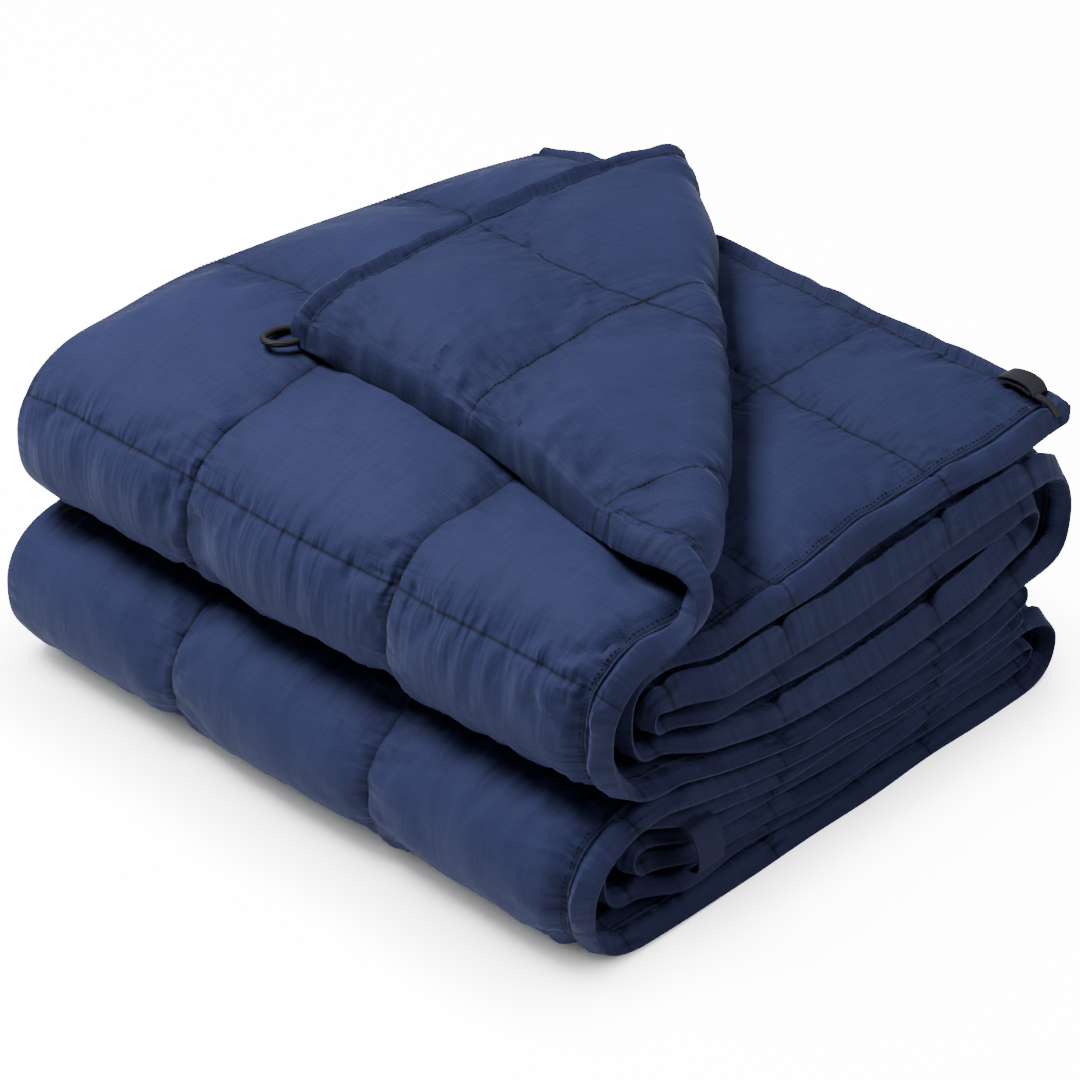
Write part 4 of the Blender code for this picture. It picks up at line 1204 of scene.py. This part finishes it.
def cloth_material(groups, look, finish):
    """Woven cloth that takes its weave and creases from the flat cloth's coordinates."""
    _, tree, shader = new_material(finish["name"])
    where = add_node(tree, "ShaderNodeUVMap", uv_map="cloth").outputs[0]
    crest, near_u, near_y = [add_node(tree, "ShaderNodeAttribute", attribute_name=label).outputs["Fac"]
                             for label in ("crest", "near_u", "near_y")]
    inputs = {
        "weave": {"Vector": where, "Thread Size": finish["thread"]},
        "creased": {"Vector": where, "Size": look.bump_size},
        "pucker": {"Vector": where, "Near U": near_u, "Near Y": near_y},
    }
    weave, creased, pucker = [add_node(tree, "ShaderNodeGroup", given, node_tree=groups[name]).outputs
                              for name, given in inputs.items()]
    # Crest paints light on the crowns and shade on thin cloth
    tone = {"Deep": (*finish["deep"], 1.0), "Pale Tone": (*finish["pale_tone"], 1.0), "Crest": crest,
            "Patches": creased["Patches"], "Slub": weave["Slub"]}
    normal = bump_node(tree, creased["Height"], look.bump_strength, FOLD_HEIGHT)
    if finish["quilted"]:
        # the quilting lines take painted shade
        tone["Line"] = pucker["Line"]
        normal = bump_node(tree, pucker["Height"], look.pucker_strength, PUCKER_HEIGHT, normal)
    tone = add_node(tree, "ShaderNodeGroup", tone, node_tree=groups["tone"])
    set_inputs(tree, shader, {
        "Base Color": tone.outputs["Color"],
        "Normal": bump_node(tree, weave["Height"], look.weave_strength, WEAVE_HEIGHT, normal),
        "Roughness": finish["roughness"], "Specular IOR Level": 0.08, "Sheen Weight": finish["sheen"],
        "Sheen Roughness": 0.45, "Sheen Tint": (*look.sheen_colour, 1.0)})


def cord_material(name, colour):
    """Braided elastic: fine slanting ridges round the cord."""
    _, tree, shader = new_material(name)
    where = add_node(tree, "ShaderNodeTexCoord").outputs["Object"]
    inputs = {"Vector": where, "Scale": BRAID_SCALE, "Distortion": 1.5}
    braid = add_node(tree, "ShaderNodeTexWave", inputs, bands_direction="DIAGONAL").outputs["Fac"]
    ramp = add_node(tree, "ShaderNodeValToRGB", {"Fac": braid})
    for element, share in zip(ramp.color_ramp.elements, BRAID_SHADES):
        element.color = (*[share * part for part in colour], 1.0)
    set_inputs(tree, shader, {
        "Base Color": ramp.outputs["Color"], "Normal": bump_node(tree, braid, 0.5, BRAID_HEIGHT),
        "Roughness": 0.65, "Specular IOR Level": 0.2})


def floor_material(name, colour, glow):
    """A pale floor that glows evenly in the picture, with a painted shadow close to the blanket."""
    made, tree, shader = new_material(name)
    path = add_node(tree, "ShaderNodeLightPath")
    # Painted shadow: the glow fades where the blanket is close
    contact = add_node(tree, "ShaderNodeAmbientOcclusion", {"Distance": CONTACT_REACH}, samples=12)
    open_share = math_node(tree, "POWER", contact.outputs["AO"], 3.0)
    seen = math_node(tree, "MULTIPLY", path.outputs["Is Camera Ray"], glow)
    set_inputs(tree, shader, {
        "Base Color": (*colour, 1.0), "Roughness": 0.9, "Specular IOR Level": 0.0, "Emission Color": WHITE,
        "Emission Strength": math_node(tree, "MULTIPLY", seen, open_share)})
    return made


def materials():
    """The part's materials by name, made once."""
    made = bpy.data.materials
    if "quilted cotton" not in made:
        look = bpy.context.scene.blanket_look
        groups = {"weave": weave_group(), "creased": creased_group(), "pucker": pucker_group(),
                  "tone": tone_group()}
        deep, pale_tone, sewn = look.deep_colour, look.lit_and_pale_colour, look.thread_colour
        # For the quilted cloth and the bound edge the deep and pale colours carry painted shade and painted
        # light as well as random tone; the ribbons' only take random tone
        finishes = (
            ("quilted cotton", deep, pale_tone, 0.0009, 0.78, look.sheen, True),
            ("binding cotton", deep, pale_tone, 0.0008, 0.72, look.sheen, True),
            ("navy ribbon", deep, look.ribbon_colour, 0.0005, 0.7, 0.0, False),
            ("black ribbon", BLACK_DEEP, BLACK_WORN, 0.0006, 0.55, 0.1, False),
            ("stitch thread", sewn, sewn, 0.0005, 0.6, 0.0, False),
        )
        for finish in finishes:
            cloth_material(groups, look, dict(zip(FINISH_COLUMNS, finish)))
        cord_material("black elastic", ELASTIC)
    return made


def finish_piece(piece, material, nodes=()):
    """Gives a piece its material, hangs it on the body and hides the model parts it stands in for."""
    piece.data.materials.append(materials()[material])
    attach(piece, BODY)
    if nodes:
        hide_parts(*nodes)
    return piece


# --- add-on ---

class BlanketLook(bpy.types.PropertyGroup):
    """Sizes of the cloth's detail, in cm, and its colours."""
    step: FloatProperty(name="Step", description="Mesh step on cloth that shows", default=0.27, min=0.1)
    fine_step: FloatProperty(
        name="Fine step", description="Mesh step at the quilting lines", default=0.13, min=0.05)
    gather_depth: FloatProperty(
        name="Gather depth", description="Height of the gathers at a seam", default=0.13)
    gather_reach: FloatProperty(
        name="Gather reach", description="How far a gather runs from its seam", default=2.2)
    gathers: FloatProperty(name="Gathers", description="Gathers in a centimetre of seam", default=1.15)
    wrinkles: FloatProperty(
        name="Wrinkles", description="Share of the simulated wrinkles' height", default=1.45)
    pleat_depth: FloatProperty(
        name="Pleat depth", description="Height of the pleats round the folds", default=0.16)
    lump_height: FloatProperty(
        name="Lump height", description="Height of lumps in the filling", default=0.16)
    crease_depth: FloatProperty(name="Crease depth", description="Height of soft creases", default=0.12)
    bump_size: FloatProperty(name="Fine crease size", description="Fine creases in a metre", default=70.0)
    bump_strength: FloatProperty(
        name="Fine crease strength", description="Depth of the fine creases", default=0.35, min=0.0, max=1.0)
    pucker_strength: FloatProperty(
        name="Pucker strength", description="Depth of the fine puckers", default=0.9, min=0.0, max=1.0)
    weave_strength: FloatProperty(
        name="Weave strength", description="Depth of the weave", default=0.35, min=0.0, max=1.0)
    thread: FloatProperty(name="Thread", description="Radius of the sewing thread", default=0.032)
    stitch_length: FloatProperty(name="Stitch", description="Length of a stitch", default=0.19)
    stitch_gap: FloatProperty(name="Stitch gap", description="Cloth between two stitches", default=0.10)
    sheen: FloatProperty(
        name="Sheen", description="Soft light that the cloth's fibres catch", default=0.05, min=0.0, max=1.0)
    # Deep and the next colour are shaded and lit copies of the cloth: painted shade in its folds and on thin
    # cloth, painted light on its crowns, with random tone between them
    deep_colour: FloatVectorProperty(
        name="Deep colour", description="Cloth in its folds", subtype="COLOR", size=3,
        default=(0.0037, 0.0047, 0.0165))
    lit_and_pale_colour: FloatVectorProperty(
        name="Worn colour", description="Cloth where the light meets it", subtype="COLOR", size=3,
        default=(0.0124, 0.0160, 0.0490))
    ribbon_colour: FloatVectorProperty(
        name="Ribbon colour", description="Navy ribbon where the light meets it", subtype="COLOR", size=3,
        default=(0.0075, 0.0096, 0.0310))
    sheen_colour: FloatVectorProperty(
        name="Sheen colour", description="Tint of the sheen", subtype="COLOR", size=3,
        default=(0.40, 0.48, 0.90))
    thread_colour: FloatVectorProperty(
        name="Thread colour", description="Sewing thread", subtype="COLOR", size=3,
        default=(0.0022, 0.0028, 0.0085))


class BlanketStage(bpy.types.PropertyGroup):
    """Floor, light and camera."""
    floor_size: FloatProperty(name="Floor", description="Side of the floor", default=14.0, unit="LENGTH")
    floor_colour: FloatVectorProperty(
        name="Floor colour", description="Colour of the floor", subtype="COLOR", size=3,
        default=(0.92, 0.92, 0.92))
    floor_glow: FloatProperty(
        name="Floor glow", description="Light that the floor adds in the picture", default=12.0)
    world_strength: FloatProperty(name="World", description="Strength of the even light", default=0.31)
    key_power: FloatProperty(
        name="Key", description="Power of the large soft light", default=168.0, unit="POWER")
    fill_power: FloatProperty(
        name="Fill", description="Power of the light from the front", default=72.0, unit="POWER")


class BLANKET_OT_quilt(bpy.types.Operator):
    """Build the quilted cloth of both bundles"""
    bl_idname = "blanket.quilt"
    bl_label = "Quilted cloth"

    def execute(self, context):
        look = context.scene.blanket_look
        for cloth, bundle in ((UPPER, "upper"), (LOWER, "lower")):
            section = cloth.section
            begin, end = BAND - TUCK, section.length - BAND + TUCK
            turn = section.left_fold[1]
            panel = section.runs[4][0]
            stretches = (("outer", begin, turn, True), ("inner", turn, panel, False),
                         ("panel", panel, end, cloth is UPPER))
            for part, first, last, visible in stretches:
                piece = cloth_piece(f"quilt_{bundle}_{part}", cloth, first, last, look, visible)
                finish_piece(piece, "quilted cotton", ["quilted_body"])
        return {"FINISHED"}


class BLANKET_OT_binding(bpy.types.Operator):
    """Build the bound edge of both bundles"""
    bl_idname = "blanket.binding"
    bl_label = "Bound edges"

    def execute(self, context):
        look = context.scene.blanket_look
        for cloth, name in ((UPPER, "binding_upper"), (LOWER, "binding_lower")):
            piece = binding_piece("edge_" + name, cloth, look)
            finish_piece(piece, "binding cotton", [name])
        return {"FINISHED"}


class BLANKET_OT_stitches(bpy.types.Operator):
    """Sew the quilting lines and the bound edges, where they show"""
    bl_idname = "blanket.stitches"
    bl_label = "Stitches"

    def execute(self, context):
        look = context.scene.blanket_look
        for cloth, bundle in ((UPPER, "upper"), (LOWER, "lower")):
            points, faces = self.sew(cloth, look)
            piece = make_object(f"stitches_{bundle}", points, faces, flat=np.asarray(points)[:, :2])
            finish_piece(piece, "stitch thread")
        return {"FINISHED"}

    @staticmethod
    def sew(cloth, look):
        """Points and faces of one bundle's stitches."""
        section = cloth.section
        begin, end = BAND + LINE_START, section.length - BAND - LINE_START
        turn, panel = section.left_fold[1], section.runs[4][0]
        start = begin if cloth is UPPER else section.left_fold[0] - LOWER_SHOWN
        shown = [(start, turn, 1)]
        if cloth is UPPER:
            shown += [(begin, section.left_fold[0], -1), (panel + PANEL_COVERED, end, -1)]
        lines = []
        for first, last, side in shown:
            for row in SEAM_ROWS[1:]:
                us = np.arange(first, last, LINE_STEP)
                lines.append((us, row - cloth.slack(us, np.full(len(us), row))[1], side))
            for seam in section.seams:
                clear = BAND + LINE_CLEAR < seam < section.length - BAND - LINE_CLEAR
                if clear and first - 0.01 < seam < last + 0.01:
                    ys = np.arange(BAND + LINE_START, DEPTH - LINE_END, LINE_STEP)
                    lines.append((seam + cloth.slack(np.full(len(ys), seam), ys)[0], ys, side))
        us = np.arange(CORNER_ROUND, section.length - CORNER_ROUND, LINE_STEP)
        ys = np.arange(CORNER_ROUND, DEPTH - LINE_END, LINE_STEP)
        for side in (1, -1):
            for inset in STITCHED:
                first = section.left_fold[0] if side < 0 and cloth is UPPER else CORNER_ROUND
                near_us = us[us > first]
                lines.append((near_us, np.full(len(near_us), inset), side))
                if cloth is UPPER:
                    lines.append((np.full(len(ys), section.length - inset), ys, side))
        parts = []
        for line_us, line_ys, side in lines:
            points, faces = stitch_line(cloth, line_us, line_ys, side, look)
            if points:
                parts.append((np.concatenate(points), faces))
        return joined(parts)


class BLANKET_OT_loop(bpy.types.Operator):
    """Lay the elastic loop at the turned-back corner"""
    bl_idname = "blanket.loop"
    bl_label = "Elastic loop"

    def execute(self, context):
        u = UPPER.section.end_top - LOOP_ROOT[0]
        top = UPPER.place(u, LOOP_ROOT[1])[2] + UPPER.halves(u, LOOP_ROOT[1])[0]
        root = np.array((*LOOP_ROOT, 0.0)) - ORIGIN
        root[2] = top + LOOP_CORD / 2.0 + LOOP_CLEAR
        out = np.array(LOOP_WAY) / np.linalg.norm(LOOP_WAY)
        side = np.array((-out[1], out[0], 0.0))
        path = []
        for turn in np.linspace(LOOP_OPEN, 2.0 * math.pi - LOOP_OPEN, 73):
            reach = LOOP_LENGTH / 2.0 * (1.0 - math.cos(turn))
            path.append(root + out * reach + side * (LOOP_WIDTH / 2.0 * math.sin(turn)))
        points, faces = tube(path, LOOP_CORD / 2.0, 20)
        piece = make_object("loop_elastic", points, faces, flat=points[:, :2])
        finish_piece(piece, "black elastic", ["elastic_loop"])
        return {"FINISHED"}


class BLANKET_OT_ribbons(bpy.types.Operator):
    """Sew on the black ribbon at the corner and the navy ribbon at the near side"""
    bl_idname = "blanket.ribbons"
    bl_label = "Ribbons"

    def execute(self, context):
        across = np.array((1.0, 0.0, 0.0))
        tab = curve_through(self.over_panel(CORNER_TAB, CORNER_TAB_IN), 8)
        ply = curve_through(self.over_panel(CORNER_PLY, CORNER_TAB_IN), 6)
        strap = curve_through(self.over_panel(STRAP, STRAP_IN), 6)
        bands = [(tab, CORNER_TAB_WIDTH), (ply, CORNER_TAB_WIDTH), (strap, STRAP_WIDTH)]
        self.make("ribbon_corner", bands, across, "black ribbon", "ribbon_tab_corner")
        side = [np.array(point) - ORIGIN for point in SIDE_TAB]
        self.make("ribbon_side", [(curve_through(side, 8), SIDE_TAB_WIDTH)], across, "navy ribbon",
                  "ribbon_tab_side")
        return {"FINISHED"}

    @staticmethod
    def over_panel(table, inward):
        """Points over the upper bundle's second free end, at heights over its bound edge."""
        u = UPPER.section.length - CORNER_TAB_EDGE
        points = []
        for y, height in table:
            middle, normal = UPPER.frame(u, y)
            lift = UPPER.halves(u, y)[1] + RIBBON_THICK / 2.0 + height
            points.append(middle - normal * lift - np.array((inward, 0.0, 0.0)))
        return points

    @staticmethod
    def make(name, bands, across, material, node):
        """One piece from several bands, each a path and a width."""
        parts, flats = [], []
        for path, width in bands:
            points, faces, flat = band_along(path, across, width, RIBBON_THICK)
            parts.append((points, faces))
            flats.append(flat)
        points, faces = joined(parts)
        piece = make_object(name, points, faces, flat=np.concatenate(flats))
        finish_piece(piece, material, [node])


class BLANKET_OT_stage(bpy.types.Operator):
    """Set the floor, the soft lights and the camera"""
    bl_idname = "blanket.stage"
    bl_label = "Stage"

    def execute(self, context):
        stage = context.scene.blanket_stage
        half = stage.floor_size / 2.0 / CM
        corners = [(-half, -half, 0.0), (half, -half, 0.0), (half, half, 0.0), (-half, half, 0.0)]
        floor = make_object("floor", corners, [(0, 1, 2, 3)])
        floor.data.materials.append(floor_material("pale floor", stage.floor_colour, stage.floor_glow))
        world = bpy.data.worlds.new("studio")
        world.use_nodes = True
        background = world.node_tree.nodes["Background"]
        set_inputs(world.node_tree, background, {"Color": WHITE, "Strength": stage.world_strength})
        context.scene.world = world
        self.light("key", stage.key_power, *KEY_LIGHT)
        self.light("fill", stage.fill_power, *FILL_LIGHT)
        self.camera(context)
        return {"FINISHED"}

    @staticmethod
    def light(name, power, size, place):
        """A square soft lamp that points at the blanket."""
        data = bpy.data.lights.new(name, "AREA")
        data.energy = power
        data.size = size
        lamp = bpy.data.objects.new(name, data)
        lamp.location = place
        lamp.rotation_euler = (Vector((0.0, 0.0, 0.1)) - lamp.location).to_track_quat("-Z", "Y").to_euler()
        bpy.context.scene.collection.objects.link(lamp)

    @staticmethod
    def camera(context):
        """The photograph's camera."""
        azimuth, elevation = math.radians(CAMERA_AZIMUTH), math.radians(CAMERA_ELEVATION)
        back = Vector((math.sin(azimuth) * math.cos(elevation), -math.cos(azimuth) * math.cos(elevation),
                       math.sin(elevation)))
        data = bpy.data.cameras.new("camera")
        data.lens = CAMERA_LENS
        data.sensor_width = CAMERA_SENSOR
        data.sensor_fit = "HORIZONTAL"
        camera = bpy.data.objects.new("camera", data)
        target = Vector(np.array(CAMERA_TARGET) - ORIGIN) * CM
        camera.location = target + back * (CAMERA_DISTANCE * CM)
        camera.rotation_euler = back.to_track_quat("Z", "Y").to_euler()
        context.scene.collection.objects.link(camera)
        context.scene.camera = camera


class BLANKET_PT_panel(bpy.types.Panel):
    """Lists the blanket's pieces"""
    bl_label = "Blanket"
    bl_idname = "BLANKET_PT_panel"
    bl_space_type = "VIEW_3D"
    bl_region_type = "UI"
    bl_category = "Blanket"

    def draw(self, context):
        for operator in OPERATORS:
            self.layout.operator(operator.bl_idname)
        for group in (context.scene.blanket_look, context.scene.blanket_stage):
            for name in group.__annotations__:
                self.layout.prop(group, name)


OPERATORS = (BLANKET_OT_stage, BLANKET_OT_quilt, BLANKET_OT_binding, BLANKET_OT_stitches, BLANKET_OT_loop,
             BLANKET_OT_ribbons)
CLASSES = (BlanketLook, BlanketStage, *OPERATORS, BLANKET_PT_panel)


def register():
    """Adds the classes and their settings to Blender."""
    for entry in CLASSES:
        bpy.utils.register_class(entry)
    bpy.types.Scene.blanket_look = PointerProperty(type=BlanketLook)
    bpy.types.Scene.blanket_stage = PointerProperty(type=BlanketStage)


def unregister():
    """Takes them away again."""
    del bpy.types.Scene.blanket_stage
    del bpy.types.Scene.blanket_look
    for entry in reversed(CLASSES):
        bpy.utils.unregister_class(entry)


def main():
    """Builds everything."""
    register()
    bpy.ops.blanket.stage()
    bpy.ops.blanket.quilt()
    bpy.ops.blanket.binding()
    bpy.ops.blanket.stitches()
    bpy.ops.blanket.loop()
    bpy.ops.blanket.ribbons()


if __name__ == "__main__":
    main()
